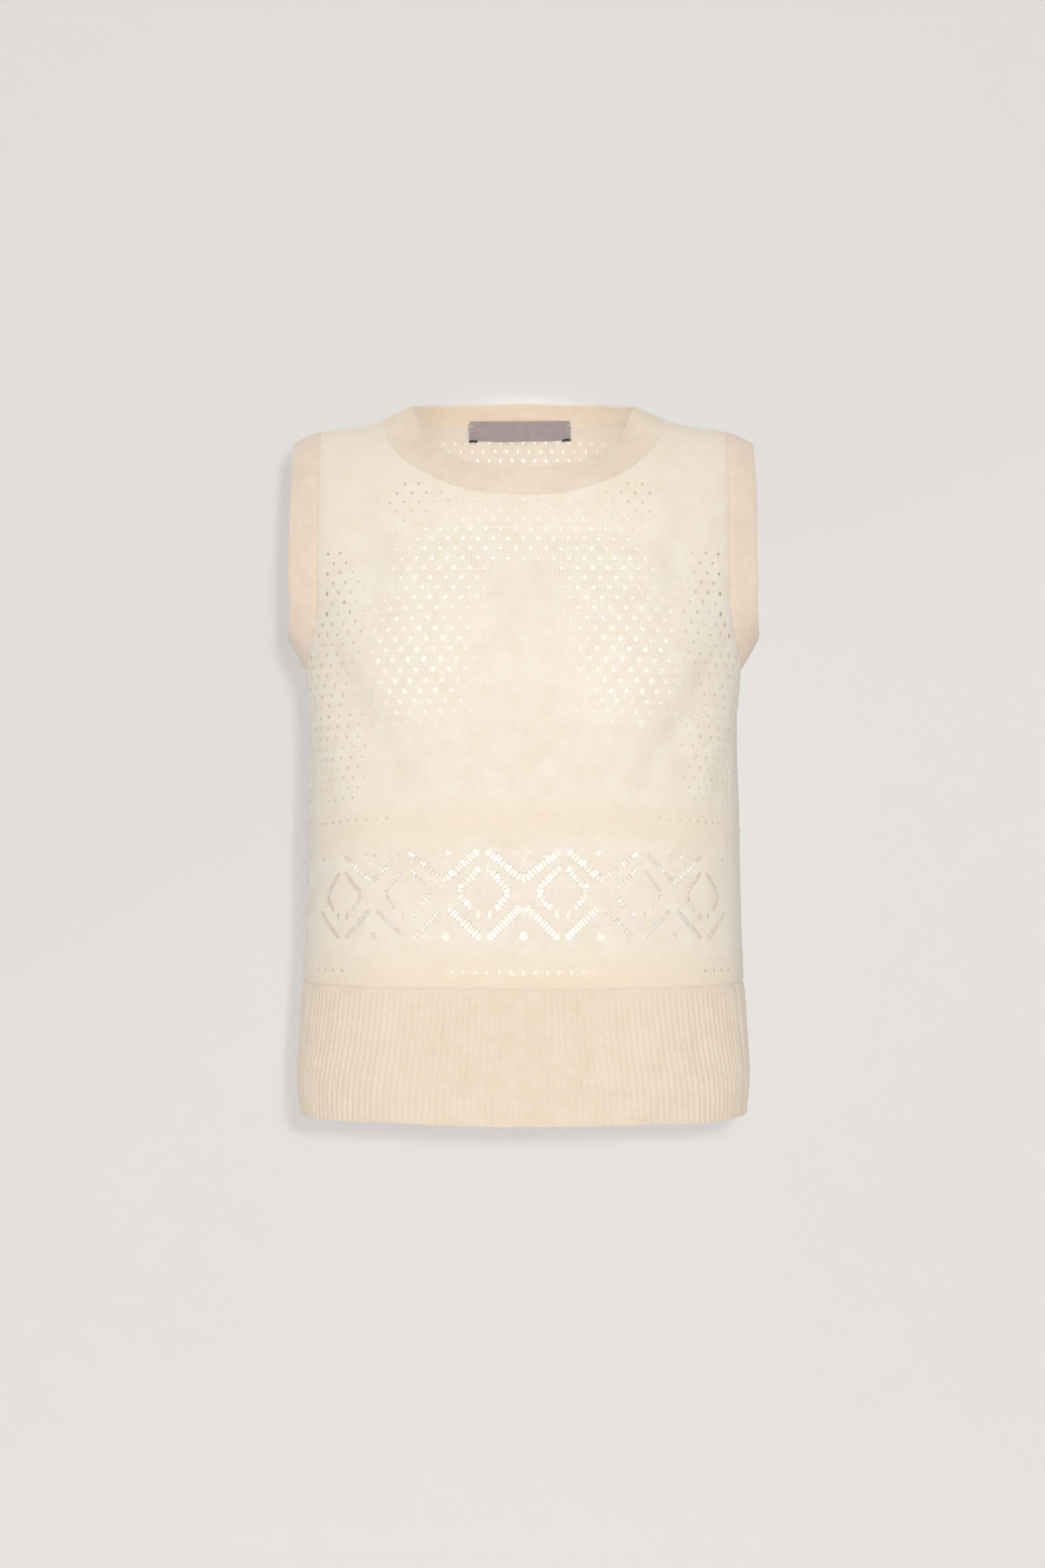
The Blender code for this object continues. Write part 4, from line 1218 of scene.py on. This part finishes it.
def lights():
    world = bpy.context.scene.world or bpy.data.worlds.new("World")
    bpy.context.scene.world = world
    world.use_nodes = True
    for socket, value in zip(world.node_tree.nodes["Background"].inputs, WORLD):
        socket.default_value = value
    for box in SOFTBOXES:
        area_light(box, box.target)
    for lamp in INSIDE_LAMPS:
        area_light(lamp, Vector(lamp.place) + Vector(lamp.aim), INSIDE_COLOUR, math.radians(lamp.spread))
    for spot in WALL_SPOTS:
        made = add_light(spot.name, "SPOT", (0.0, SPOT_Y, spot.level), energy=spot.power, color=SPOT_COLOUR,
                         spot_size=2 * math.atan(spot.half_high / (WALL_Y - SPOT_Y)), spot_blend=0.25,
                         shadow_soft_size=0.02)
        made.rotation_euler = (math.pi / 2, 0, 0)
        made.scale = (spot.half_wide / spot.half_high, 1.0, 1.0)
    lamp = add_light("camera_lamp", "POINT", (0.022, -CAMERA_DISTANCE - 0.02, CAMERA_HEIGHT + 0.024),
                     shadow_soft_size=0.011, energy=1.0, use_nodes=True)
    tree = lamp.data.node_tree
    falloff = tree.nodes.new("ShaderNodeLightFalloff")
    falloff.inputs["Strength"].default_value = CAMERA_LAMP
    tree.links.new(falloff.outputs["Constant"], tree.nodes["Emission"].inputs["Strength"])


def camera():
    data = bpy.data.cameras.new("camera")
    data.sensor_width = 36
    data.lens = LENS
    data.shift_y = CAMERA_SHIFT
    made = add_object("camera", data)
    made.location = (-0.0007, -CAMERA_DISTANCE, CAMERA_HEIGHT)
    made.rotation_euler = (math.pi / 2, 0, 0)
    bpy.context.scene.camera = made


def dress(piece, node, flat):
    """Puts a cloth piece in the place of its solid."""
    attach(piece, "root")
    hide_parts(node)
    area = min(piece["cloth_area"], flat[0] * flat[1])
    del piece["cloth_area"]


def main():
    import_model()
    solid_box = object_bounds()
    body, behind, ribbed, band, collar = (knit_material(*wool) for wool in WOOLS)
    dress(body_knit("front_body_knit", FRONT, body), "front_panel", (0.48, 0.49))
    dress(body_knit("back_body_knit", BACK, behind), "back_panel", (0.55, 0.53))
    dress(hem_knit("front_rib_knit", FRONT, ribbed), "front_hem_rib", (0.40, 0.107))
    dress(hem_knit("back_rib_knit", BACK, ribbed), "back_hem_rib", (0.55, 0.107))
    share = np.linspace(0, 1, BAND_STEPS + 1)
    loop = seam_loop(neck_seam, (NECK_LEAN_FRONT, NECK_LEAN_BACK), 1 - np.abs(1 - 2 * share))
    made = band_knit("neckband_knit", loop, np.array((0.0, 0.0, 1.0)), collar, 3, 0.0)
    dress(made, "neckband", (0.62, 0.024))
    for side, name in ((1, "left"), (-1, "right")):
        loop = seam_loop(armhole_seam, (ARM_LEAN, ARM_LEAN), share, side)
        made = band_knit(f"armhole_{name}_knit", loop, np.array((side, 0.0, 0.0)), band, 5 + side)
        dress(made, f"armhole_band_{name}", (0.46, 0.024))
    tape, spots = neck_label(satin_material())
    dress(tape, "neck_label", (0.085, 0.016))
    for piece in label_threads(spots):
        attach(piece, "root")
    cyclorama()
    lights()
    camera()
    bpy.context.scene.view_settings.view_transform = "Standard"
    json.dumps([[list(corner) for corner in box] for box in (solid_box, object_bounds())])


main()
